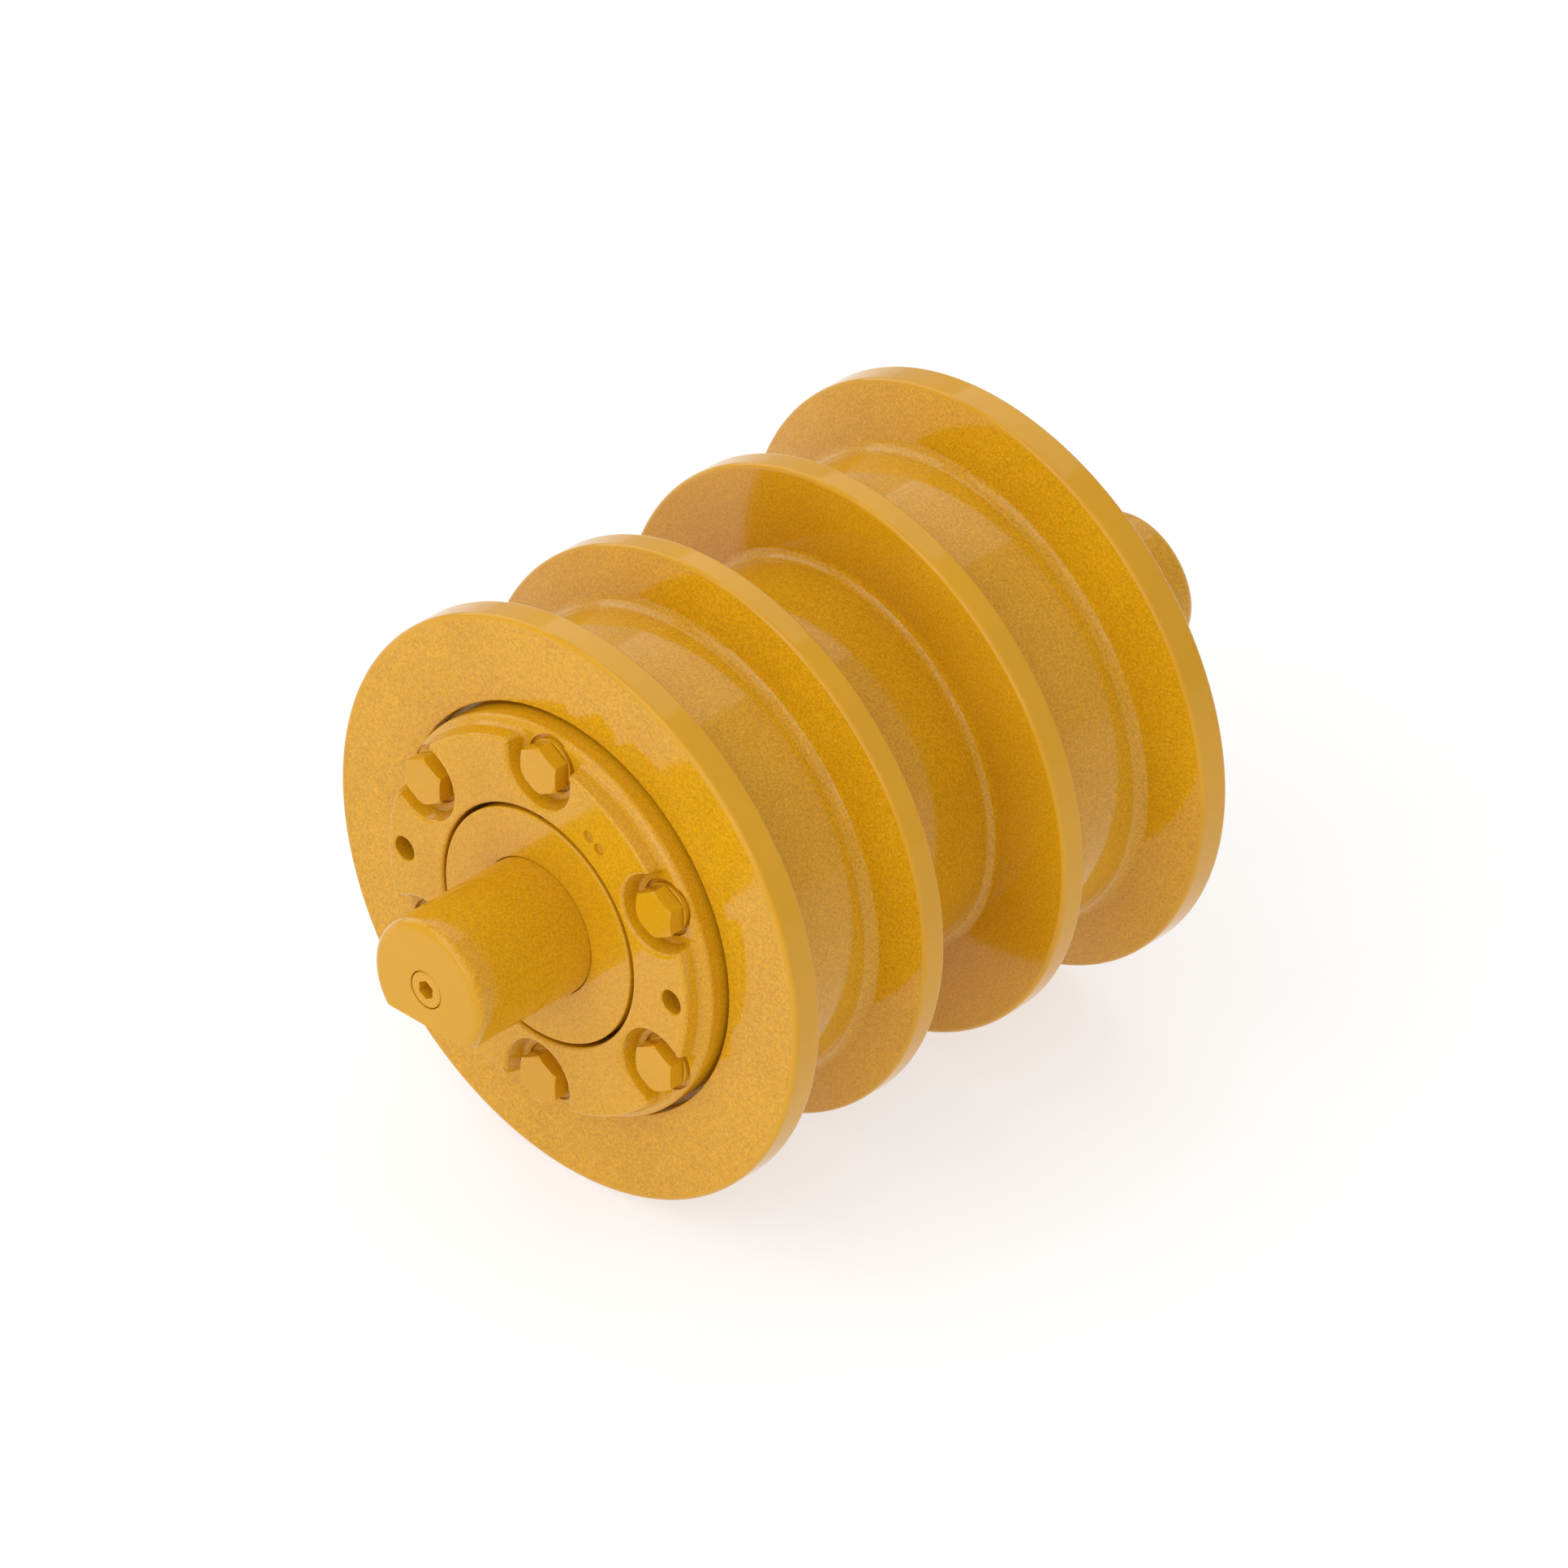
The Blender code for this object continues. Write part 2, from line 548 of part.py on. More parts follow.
def retainer_profile():
    groove = RETAINER_SEAT - RETAINER_GROOVE_SET_BACK
    edge_face = SHELL_END + RETAINER_EDGE_PROUD
    return [
        (RETAINER_BORE + RETAINER_BORE_LIP, PAD_FACE),
        (PAD_RADIUS - PAD_CHAMFER, PAD_FACE),
        (PAD_RADIUS, PAD_FACE - PAD_CHAMFER),
        (PAD_RADIUS + PAD_DRAFT, edge_face + 2 * RETAINER_EDGE_SLOPE),
        (RETAINER_RADIUS - RETAINER_EDGE_SLOPE, edge_face + RETAINER_EDGE_SLOPE / 2),
        (RETAINER_RADIUS, edge_face - RETAINER_EDGE_SLOPE / 2),
        (RETAINER_RADIUS, RETAINER_SEAT),
        (SPIGOT_RADIUS, RETAINER_SEAT),
        (SPIGOT_RADIUS, groove + GROOVE_WIDTH / 2),
        (SPIGOT_RADIUS - GROOVE_DEPTH, groove + GROOVE_WIDTH / 2),
        (SPIGOT_RADIUS - GROOVE_DEPTH, groove - GROOVE_WIDTH / 2),
        (SPIGOT_RADIUS, groove - GROOVE_WIDTH / 2),
        (SPIGOT_RADIUS, RETAINER_INNER_END),
        (BUSHING_RADIUS + TOUCH, RETAINER_INNER_END),
        (BUSHING_RADIUS + TOUCH, SEAL_PLANE - HOUSING_DEPTH),
        (HOUSING_FLOOR_RADIUS, SEAL_PLANE - HOUSING_DEPTH),
        (HOUSING_RADIUS, SEAL_PLANE - HOUSING_MOUTH),
        (RETAINER_BORE, SEAL_PLANE - HOUSING_MOUTH),
        (RETAINER_BORE, PAD_FACE - RETAINER_BORE_LIP),
    ]


def pocket_mesh():
    """A U-shaped prism for each bolt, round about the bolt and open towards the retainer's edge."""
    shape = bmesh.new()
    run_out = RETAINER_RADIUS + OVERSHOOT - BOLT_CIRCLE
    for angle, place in bolt_places():
        outline = [Vector((run_out, -POCKET_RADIUS)), Vector((run_out, POCKET_RADIUS))]
        for i in range(POCKET_ROUND + 1):
            bend = math.radians(90 + 180 * i / POCKET_ROUND)
            outline.append(Vector((POCKET_RADIUS * math.cos(bend), POCKET_RADIUS * math.sin(bend))))
        turn = Matrix.Rotation(angle, 2)
        floor = [shape.verts.new((*(place + turn @ point), POCKET_FLOOR)) for point in outline]
        face = shape.faces.new(floor)
        lift = bmesh.ops.extrude_face_region(shape, geom=[face])
        raised = [v for v in lift["geom"] if isinstance(v, bmesh.types.BMVert)]
        bmesh.ops.translate(shape, vec=(0, 0, POCKET_DEPTH + OVERSHOOT), verts=raised)
    bmesh.ops.recalc_face_normals(shape, faces=shape.faces)
    mesh = bpy.data.meshes.new("pocket_cutter")
    shape.to_mesh(mesh)
    shape.free()
    return mesh


def make_retainers():
    retainer = turned_mesh("retainer", retainer_profile(), ROUND)
    through = (RETAINER_SEAT - OVERSHOOT, PAD_FACE + OVERSHOOT)
    boss_ends = (RETAINER_SEAT + TOUCH, POCKET_FLOOR + WASHER_THICKNESS)
    bosses = []
    holes = []
    for angle, place in bolt_places():
        bosses.append(rod(BOSS_ROUND, SEAT_BOSS_RADIUS, *boss_ends, place, angle))
        holes.append(rod(HOLE_ROUND, BOLT_RADIUS + BOLT_HOLE_GAP, *through, place, angle))
    for degrees in JACK_HOLE_ANGLES:
        angle = math.radians(degrees)
        place = (BOLT_CIRCLE * math.cos(angle), BOLT_CIRCLE * math.sin(angle))
        holes.append(rod(HOLE_ROUND, JACK_HOLE_RADIUS, *through, place, angle))
    boss_mesh = rods_mesh("seat_boss_adder", *bosses)
    hole_mesh = rods_mesh("retainer_hole_cutter", *holes)
    pockets = pocket_mesh()
    groove = RETAINER_SEAT - RETAINER_GROOVE_SET_BACK
    o_ring = ring_mesh("retainer_o_ring", SPIGOT_RADIUS - GROOVE_DEPTH / 2, groove, O_RING_RADIUS)
    for side in SIDES:
        piece = add_piece("retainer_" + side, retainer, "enamel_on_casting", roller, side)
        combine(piece, add_cutter("seat_boss_adder_" + side, boss_mesh, side), "UNION")
        combine(piece, add_cutter("pocket_cutter_" + side, pockets, side))
        combine(piece, add_cutter("retainer_hole_cutter_" + side, hole_mesh, side))
        add_piece("retainer_o_ring_" + side, o_ring, "nitrile_rubber", roller, side)


def bolt_mesh():
    """A hexagon bolt whose head rests at height 0, from two cylinders made one."""
    grip = POCKET_FLOOR + TOUCH + WASHER_THICKNESS + TOUCH - RECESS_FLOOR
    head_rod = hexagon_rod(HEAD_FLATS, 0, HEAD_HEIGHT)
    shank_rod = rod(HOLE_ROUND, BOLT_RADIUS, -grip - THREAD_DEPTH, HEAD_HEIGHT / 2)
    head = bpy.data.objects.new("bolt_head", rods_mesh("bolt_head", head_rod))
    shank = bpy.data.objects.new("bolt_shank", rods_mesh("bolt_shank", shank_rod))
    for obj in (head, shank):
        cutters.objects.link(obj)
    combine(head, shank, "UNION")
    bpy.context.view_layer.update()
    mesh = bpy.data.meshes.new_from_object(head.evaluated_get(bpy.context.evaluated_depsgraph_get()))
    for obj in (head, shank):
        bpy.data.objects.remove(obj)
    mesh.name = "retainer_bolt"
    shade_round(mesh)
    return mesh


def make_bolts_and_washers():
    bolt = bolt_mesh()
    washer_profile = [
        (BOLT_RADIUS + TOUCH, WASHER_THICKNESS),
        (WASHER_RADIUS, WASHER_THICKNESS),
        (WASHER_RADIUS, 0),
        (BOLT_RADIUS + TOUCH, 0),
    ]
    washer = turned_mesh("washer", washer_profile, HOLE_ROUND)
    washer_place = POCKET_FLOOR + TOUCH
    bolt_place = washer_place + WASHER_THICKNESS + TOUCH
    for side in SIDES:
        for number, (angle, place) in enumerate(bolt_places(), start=1):
            for kind, mesh, height in (("bolt", bolt, bolt_place), ("washer", washer, washer_place)):
                piece = add_piece(f"retainer_{kind}_{side}_{number}", mesh, "enamel_on_fastener", roller)
                seat = Matrix.Translation((*place, height)) @ Matrix.Rotation(angle, 4, "Z")
                piece.matrix_local = side_turn(side) @ seat


clear_scene()
parts = new_collection("track_roller")
cutters = new_collection("cutters")
finishes = {name: make_finish(name) for name in FINISHES}
axle = make_body("axle")
roller = make_body("roller")
make_shaft()
make_oil_plug()
make_collars()
make_face_seals()
make_bushings()
make_retainers()
make_bolts_and_washers()
make_roller_shell()
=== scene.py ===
import math

import bmesh
import bpy
from mathutils import Matrix, Vector


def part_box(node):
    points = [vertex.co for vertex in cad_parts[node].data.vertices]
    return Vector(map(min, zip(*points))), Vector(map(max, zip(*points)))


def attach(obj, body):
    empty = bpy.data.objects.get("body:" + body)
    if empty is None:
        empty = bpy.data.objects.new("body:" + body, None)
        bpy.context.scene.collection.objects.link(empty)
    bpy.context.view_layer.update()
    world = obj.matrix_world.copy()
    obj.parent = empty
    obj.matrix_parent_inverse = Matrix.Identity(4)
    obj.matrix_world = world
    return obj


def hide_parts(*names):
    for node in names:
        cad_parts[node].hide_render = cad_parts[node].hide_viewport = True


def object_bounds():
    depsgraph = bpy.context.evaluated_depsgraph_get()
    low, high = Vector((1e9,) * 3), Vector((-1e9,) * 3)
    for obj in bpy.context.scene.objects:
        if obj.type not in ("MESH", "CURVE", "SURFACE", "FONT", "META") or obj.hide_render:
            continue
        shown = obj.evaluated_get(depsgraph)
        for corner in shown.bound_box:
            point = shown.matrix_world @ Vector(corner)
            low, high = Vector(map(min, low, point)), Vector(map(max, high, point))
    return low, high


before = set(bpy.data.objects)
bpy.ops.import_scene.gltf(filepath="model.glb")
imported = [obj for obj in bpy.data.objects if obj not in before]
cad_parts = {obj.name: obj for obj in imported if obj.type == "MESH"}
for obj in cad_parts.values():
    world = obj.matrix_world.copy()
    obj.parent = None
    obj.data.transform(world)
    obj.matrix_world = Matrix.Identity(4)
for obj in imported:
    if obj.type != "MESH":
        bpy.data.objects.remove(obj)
cadLow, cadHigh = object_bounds()
mm = 0.001  # sizes below are in millimetres unless a note says otherwise
sides = {"rear": 1, "front": -1}  # the rear end is at +Y
overshoot = 5  # how far a cutter goes past what it cuts
print("frame loaded:", len(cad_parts), "nodes")


def linearColour(hexCode):
    channels = []
    for start in (1, 3, 5):
        value = int(hexCode[start:start + 2], 16) / 255
        channels.append(value / 12.92 if value <= 0.04045 else ((value + 0.055) / 1.055) ** 2.4)
    return (*channels, 1)


def addNode(material, kind, settings=None, links=None):
    # settings are node properties or unlinked sockets; links are sockets fed by another node's output
    node = material.node_tree.nodes.new(kind)
    for key, value in (settings or {}).items():
        if isinstance(key, int) or key in node.inputs:
            node.inputs[key].default_value = value
        else:
            setattr(node, key, value)
    for key, source in (links or {}).items():
        material.node_tree.links.new(source, node.inputs[key])
    return node


def startMaterial(name):
    material = bpy.data.materials.new(name)
    material.use_nodes = True
    material.node_tree.nodes.clear()
    place = addNode(material, "ShaderNodeTexCoord").outputs["Object"]
    return material, place


def finishMaterial(material, shader, hexCode):
    addNode(material, "ShaderNodeOutputMaterial", links={"Surface": shader.outputs["BSDF"]})
    material.diffuse_color = linearColour(hexCode)
    return material


def patternScale(millimetres):
    # a noise texture of scale 1 has one feature about every metre
    return 1000 / millimetres


def waveScale(millimetres):
    # a wave texture of scale 1 repeats every 0.314 m
    return 314 / millimetres


# finishes: what each surface is made of and how it was made
enamelLook = {
    "film": "#D09713",  # construction yellow where the coat is full
    "thinFilm": "#CB9210",  # where the spray was lighter
    "cloud": 70.0,  # size of the patches that one pass of the gun leaves
    "speckle": 1.4,  # fine orange peel and dust, drawn coarser than the real 0.3 so that it shows
    "roughness": 0.09,
    "ior": 1.42,  # a little under the 1.5 that alkyd enamel typically has
}


def sprayedEnamel(name, grain, grainDepth, speckleAmount):
    # gloss enamel: one deep yellow film that mirrors the pale room in hard-edged patches
    look = enamelLook
    material, place = startMaterial(name)
    cloud = addNode(
        material, "ShaderNodeTexNoise",
        {"Scale": patternScale(look["cloud"]), "Detail": 3.0, "Roughness": 0.5}, {"Vector": place},
    )
    cloudRange = addNode(
        material, "ShaderNodeMapRange", {"From Min": 0.35, "From Max": 0.65}, {"Value": cloud.outputs["Fac"]}
    )
    film = addNode(
        material, "ShaderNodeMix",
        {"data_type": "RGBA", 6: linearColour(look["film"]), 7: linearColour(look["thinFilm"])},
        {"Factor": cloudRange.outputs["Result"]},
    )
    speckle = addNode(
        material, "ShaderNodeTexNoise",
        {"Scale": patternScale(look["speckle"]), "Detail": 2.0, "Roughness": 0.6}, {"Vector": place},
    )
    speckleRange = addNode(
        material, "ShaderNodeMapRange",
        {"From Min": 0.3, "From Max": 0.7, "To Min": 1 - speckleAmount, "To Max": 1 + speckleAmount},
        {"Value": speckle.outputs["Fac"]},
    )
    colour = addNode(
        material, "ShaderNodeVectorMath",
        {"operation": "SCALE"}, {"Vector": film.outputs[2], "Scale": speckleRange.outputs["Result"]},
    )
    skin = addNode(
        material, "ShaderNodeTexNoise",
        {"Scale": patternScale(grain), "Detail": 2.0, "Roughness": 0.55}, {"Vector": place},
    )
    bump = addNode(
        material, "ShaderNodeBump", {"Distance": grainDepth * mm}, {"Height": skin.outputs["Fac"]}
    )
    shader = addNode(
        material, "ShaderNodeBsdfPrincipled", {"Roughness": look["roughness"], "IOR": look["ior"]},
        {"Base Color": colour.outputs["Vector"], "Normal": bump.outputs["Normal"]},
    )
    return finishMaterial(material, shader, look["film"])


def machinedMetal(name, colour, roughness, pitch, depth):
    # bare metal with fine rings left by the tool that cut it
    wearPatch = 12
    material, place = startMaterial(name)
    rings = addNode(
        material, "ShaderNodeTexWave",
        {"bands_direction": "Y", "Scale": waveScale(pitch), "Distortion": 1.0, "Detail": 2.0},
        {"Vector": place},
    )
    bump = addNode(
        material, "ShaderNodeBump", {"Distance": depth * mm}, {"Height": rings.outputs["Fac"]}
    )
    patches = addNode(
        material, "ShaderNodeTexNoise", {"Scale": patternScale(wearPatch), "Detail": 3.0}, {"Vector": place}
    )
    wear = addNode(
        material, "ShaderNodeMapRange",
        {"To Min": roughness * 0.8, "To Max": roughness * 1.2}, {"Value": patches.outputs["Fac"]},
    )
    shader = addNode(
        material, "ShaderNodeBsdfPrincipled", {"Base Color": linearColour(colour), "Metallic": 1.0},
        {"Roughness": wear.outputs["Result"], "Normal": bump.outputs["Normal"]},
    )
    return finishMaterial(material, shader, colour)


def mouldedRubber(name, colour):
    grain, grainDepth = 1.0, 0.02
    material, place = startMaterial(name)
    skin = addNode(
        material, "ShaderNodeTexNoise", {"Scale": patternScale(grain), "Detail": 3.0}, {"Vector": place}
    )
    bump = addNode(
        material, "ShaderNodeBump", {"Distance": grainDepth * mm}, {"Height": skin.outputs["Fac"]}
    )
    bloom = addNode(
        material, "ShaderNodeMapRange", {"To Min": 0.5, "To Max": 0.65}, {"Value": skin.outputs["Fac"]}
    )
    shader = addNode(
        material, "ShaderNodeBsdfPrincipled", {"Base Color": linearColour(colour), "IOR": 1.52},
        {"Roughness": bloom.outputs["Result"], "Normal": bump.outputs["Normal"]},
    )
    return finishMaterial(material, shader, colour)


# the enamel is the same everywhere; what it covers sets the grain and its depth
enamelOnForging = sprayedEnamel("sprayedEnamelOnBlastedForging", 2.0, 0.009, 0.22)  # even, sandy sheen
enamelOnCasting = sprayedEnamel("sprayedEnamelOnSandCasting", 2.4, 0.009, 0.18)  # the roughest skin
enamelOnShaft = sprayedEnamel("sprayedEnamelOnGroundBar", 1.6, 0.007, 0.2)  # tight grain, clear reflections
enamelOnTurned = sprayedEnamel("sprayedEnamelOnTurnedRim", 6.0, 0.004, 0.0)  # all but smooth, glossy bands
enamelOnFastener = sprayedEnamel("sprayedEnamelOnForgedBolt", 1.5, 0.004, 0.08)  # crisp small faces
bronze = machinedMetal("castBronzeBored", "#C08A4A", 0.35, 1.2, 0.02)  # warm brown, dull rings
whiteIron = machinedMetal("whiteIronLapped", "#B9BABB", 0.16, 3.0, 0.002)  # pale and nearly a mirror
dowelSteel = machinedMetal("dowelSteelGround", "#AEABA6", 0.25, 0.8, 0.006)  # bright grey, fine rings
rubber = mouldedRubber("nitrileRubberMoulded", "#1B1B1C")  # soft black with a dull skin


# shapes that several pieces are made with
def roundedOutline(corners, closed=True, arcStep=8.0):
    # corners are (x, y, rounding); each becomes an arc of that rounding with a point every arcStep degrees
    points = []
    count = len(corners)
    for i, (x, y, rounding) in enumerate(corners):
        corner = Vector((x, y))
        if rounding == 0 or (not closed and i in (0, count - 1)):
            points.append(corner)
            continue
        back = (Vector(corners[i - 1][:2]) - corner).normalized()
        ahead = (Vector(corners[(i + 1) % count][:2]) - corner).normalized()
        half = back.angle(ahead) / 2
        centre = corner + (back + ahead).normalized() * rounding / math.sin(half)
        arm = corner + back * rounding / math.tan(half) - centre
        turn = math.pi - 2 * half
        if back.x * ahead.y - back.y * ahead.x > 0:
            turn = -turn
        steps = max(2, math.ceil(abs(math.degrees(turn)) / arcStep))
        for k in range(steps + 1):
            points.append(centre + Matrix.Rotation(turn * k / steps, 2) @ arm)
    return points


def meshFrom(shape, name):
    bmesh.ops.remove_doubles(shape, verts=shape.verts, dist=0.001 * mm)
    bmesh.ops.recalc_face_normals(shape, faces=shape.faces)
    mesh = bpy.data.meshes.new(name)
    shape.to_mesh(mesh)
    shape.free()
    return mesh


def turnedMesh(name, corners, closed=True, segments=192):
    # corners are (radius, place along the spin axis, rounding), turned about world Y
    shape = bmesh.new()
    outline = [shape.verts.new((x * mm, y * mm, 0)) for x, y in roundedOutline(corners, closed)]
    edges = [shape.edges.new(pair) for pair in zip(outline, outline[1:])]
    if closed:
        edges.append(shape.edges.new((outline[-1], outline[0])))
    bmesh.ops.spin(
        shape, geom=outline + edges, cent=(0, 0, 0), axis=(0, 1, 0),
        angle=2 * math.pi, steps=segments, use_merge=True, use_duplicate=False,
    )
    return meshFrom(shape, name)


def prismMesh(name, outline, low, high):
    # a flat outline in X and Z, as wide as from low to high along Y
    shape = bmesh.new()
    floor = shape.faces.new([shape.verts.new((x * mm, low * mm, z * mm)) for x, z in outline])
    lifted = bmesh.ops.extrude_face_region(shape, geom=[floor])["geom"]
    top = [v for v in lifted if isinstance(v, bmesh.types.BMVert)]
    bmesh.ops.translate(shape, vec=(0, (high - low) * mm, 0), verts=top)
    return meshFrom(shape, name)


def hexagon(flats, turnDegrees=0):
    # the corners of a hexagon, from its width across flats
    radius = flats / 2 / math.cos(math.radians(30))
    angles = [math.radians(60 * k + turnDegrees) for k in range(6)]
    return [(radius * math.cos(angle), radius * math.sin(angle)) for angle in angles]


def joinedMesh(name, meshes):
    shape = bmesh.new()
    for mesh, matrix in meshes:
        part = mesh.copy()
        part.transform(matrix)
        shape.from_mesh(part)
        bpy.data.meshes.remove(part)
    return meshFrom(shape, name)


def boolean(mesh, other, operation="DIFFERENCE"):
    first = bpy.data.objects.new("first", mesh)
    second = bpy.data.objects.new("second", other)
    for obj in (first, second):
        bpy.context.scene.collection.objects.link(obj)
    modifier = first.modifiers.new("boolean", "BOOLEAN")
    modifier.operation = operation
    modifier.object = second
    graph = bpy.context.evaluated_depsgraph_get()
    result = bpy.data.meshes.new_from_object(first.evaluated_get(graph))
    for obj in (first, second):
        bpy.data.objects.remove(obj)
    result.name = mesh.name
    return result


def smoothed(mesh, sharpDegrees=35):
    mesh.shade_smooth()
    mesh.set_sharp_from_angle(angle=math.radians(sharpDegrees))
    return mesh


def addPiece(name, mesh, materials, body, slot, *nodes, matrix=None):
    piece = bpy.data.objects.new(name, mesh)
    bpy.context.scene.collection.objects.link(piece)
    if not mesh.materials:
        for material in materials:
            mesh.materials.append(material)
    piece.matrix_world = matrix or Matrix.Identity(4)
    weights = piece.modifiers.new("evenNormals", "WEIGHTED_NORMAL")
    weights.keep_sharp = True
    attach(piece, body)
    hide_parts(*nodes)
    return piece


def halfTurn(side):
    # carries a piece made for the rear, +Y, to the front
    return Matrix.Rotation(0 if sides[side] > 0 else math.pi, 4, "X")


def reach(node):
    # radius and the nearest and farthest place along the spin axis, of a node that surrounds it
    low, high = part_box(node)
    places = sorted((abs(low.y) / mm, abs(high.y) / mm))
    return (high.x - low.x) / 2 / mm, places[0], places[1]


def rodMesh(radius, low, high, segments=48):
    corners = [(0, high, 0), (radius, high, 0), (radius, low, 0), (0, low, 0)]
    return turnedMesh("rod", corners, False, segments)


# roller shell
shellSizes = {
    "treadRadius": 145.3,
    "innerFlangeRadius": 177.0,
    "waistRadius": 120.0,
    "outerRimWidth": 19.4,
    "innerRimWidth": 16.5,
    "centreGroove": 94.8,
    "taper": 20.0,  # degrees
    "treadFillet": 9.0,
    "waistFillet": 6.5,
    "rimRounding": 3.0,
    "edgeRounding": 0.6,
    "recessRounding": 0.7,
    "recessRadius": 128.575,
    "recessDepth": 10.0,
    "boreRadius": 78.275,
    "holeRadius": 9.8,
    "holeDepth": 39.0,
}


def boltCentres(side):
    for number in range(1, 7):
        low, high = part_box(f"retainer_bolt_{side}_{number}")
        yield number, (low + high) / 2


def makeShell():
    s = shellSizes
    flangeRadius, _, end = reach("roller_shell")
    lean = math.tan(math.radians(s["taper"]))
    outerStart = end - s["outerRimWidth"]
    groove = s["centreGroove"] / 2
    innerEnd = groove + s["innerRimWidth"]
    outerFoot = outerStart - (flangeRadius - s["treadRadius"]) * lean
    innerFoot = innerEnd + (s["innerFlangeRadius"] - s["treadRadius"]) * lean
    floor = end - s["recessDepth"]
    half = [
        (s["boreRadius"], floor, s["edgeRounding"]),
        (s["recessRadius"], floor, s["edgeRounding"]),
        (s["recessRadius"], end, s["recessRounding"]),
        (flangeRadius, end, s["rimRounding"]),
        (flangeRadius, outerStart, s["rimRounding"]),
        (s["treadRadius"], outerFoot, s["treadFillet"]),
        (s["treadRadius"], innerFoot, s["treadFillet"]),
        (s["innerFlangeRadius"], innerEnd, s["rimRounding"]),
        (s["innerFlangeRadius"], groove, s["rimRounding"]),
        (s["waistRadius"], groove, s["waistFillet"]),
    ]
    corners = half + [(radius, -place, rounding) for radius, place, rounding in reversed(half)]
    mesh = turnedMesh("rollerShell", corners, segments=288)
    for side in sides:
        holes = []
        for _, centre in boltCentres(side):
            low, high = sorted((sides[side] * (floor - s["holeDepth"]), sides[side] * (end + overshoot)))
            place = Matrix.Translation((centre.x, 0, centre.z))
            holes.append((rodMesh(s["holeRadius"], low, high), place))
        mesh = boolean(mesh, joinedMesh("tappedHoles", holes))
    for face in mesh.polygons:  # the rims were turned after forging
        middle = face.center
        radius = math.hypot(middle.x, middle.z) / mm
        limit = flangeRadius if abs(middle.y) / mm > s["centreGroove"] else s["innerFlangeRadius"]
        face.material_index = 1 if radius > limit - s["rimRounding"] else 0
    finishes = [enamelOnForging, enamelOnTurned]
    addPiece("rollerShell", smoothed(mesh), finishes, "roller", "enamel_on_forging", "roller_shell")


# shaft and oil plug
shaftSizes = {
    "endRadius": 42.8,
    "journalRadius": 46.0,
    "journalEnd": 170.0,
    "thrustFace": 12.0,
    "endRounding": 6.0,
    "facedShare": 0.4,  # of the end's rounding, which is as smooth as the end face
    "stepRounding": 0.5,
    "thrustRounding": 1.0,
    "flatHeight": 24.5,
    "flatStart": 209.5,
    "galleryRadius": 8.0,
    "galleryEnd": 15.0,  # past the shaft's middle
    "crossHoleRadius": 5.0,
    "pinHoleRadius": 3.3,
    "pinHoleGap": 0.3,  # below the pin
    "plugHoleGap": 0.5,
    "plugHoleChamfer": 0.5,
    "plugHoleFloor": 20.0,
}
plugSizes = {"socketFlats": 10.7, "socketDepth": 8.0, "rounding": 0.9, "footRounding": 0.4}


def makeShaft():
    s = shaftSizes
    thrustRadius, _, end = reach("shaft")
    half = [
        (0, end, 0),
        (s["endRadius"], end, s["endRounding"]),
        (s["endRadius"], s["journalEnd"], s["stepRounding"]),
        (s["journalRadius"], s["journalEnd"], s["stepRounding"]),
        (s["journalRadius"], s["thrustFace"], s["thrustRounding"]),
        (thrustRadius, s["thrustFace"], s["thrustRounding"]),
    ]
    corners = half + [(radius, -place, rounding) for radius, place, rounding in reversed(half)]
    mesh = turnedMesh("shaft", corners, closed=False, segments=240)
    reachOut = s["endRadius"] + overshoot
    low, high = -reachOut, -s["flatHeight"]
    block = [(-reachOut, low), (reachOut, low), (reachOut, high), (-reachOut, high)]
    flats = [
        (prismMesh("flat", block, s["flatStart"], end + overshoot), Matrix.Identity(4)),
        (prismMesh("flat", block, -end - overshoot, -s["flatStart"]), Matrix.Identity(4)),
    ]
    mesh = boolean(mesh, joinedMesh("flats", flats))
    hole = reach("oil_plug")[0] + s["plugHoleGap"]
    wide = hole + s["plugHoleChamfer"]
    floor = -end + s["plugHoleFloor"]
    gallery = [
        (0, -end - overshoot, 0), (wide, -end - overshoot, 0), (wide, -end, 0),
        (hole, -end + s["plugHoleChamfer"], 0), (hole, floor, 0), (s["galleryRadius"], floor, 0),
        (s["galleryRadius"], s["galleryEnd"], 0), (0, s["galleryEnd"], 0),
    ]
    mesh = boolean(mesh, turnedMesh("gallery", gallery, False, 64))
    across = Matrix.Rotation(math.radians(90), 4, "Z")
    upright = Matrix.Rotation(math.radians(90), 4, "X")
    passage = thrustRadius + overshoot
    holes = [(rodMesh(s["crossHoleRadius"], -passage, passage, segments=32), across)]
    for side in sides:
        low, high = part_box("collar_pin_" + side)
        place = Matrix.Translation((0, (low.y + high.y) / 2, 0))
        foot = low.z / mm - s["pinHoleGap"]
        holes.append((rodMesh(s["pinHoleRadius"], foot, thrustRadius, segments=32), place @ upright))
    for cutter in holes:
        mesh = boolean(mesh, joinedMesh("hole", [cutter]))
    for face in mesh.polygons:  # the ends were faced smooth
        atEnd = abs(face.center.y) / mm > end - s["facedShare"] * s["endRounding"]
        face.material_index = 1 if atEnd else 0
    finishes = [enamelOnShaft, enamelOnTurned]
    addPiece("rollerShaft", smoothed(mesh), finishes, "axle", "enamel_on_shaft", "shaft")


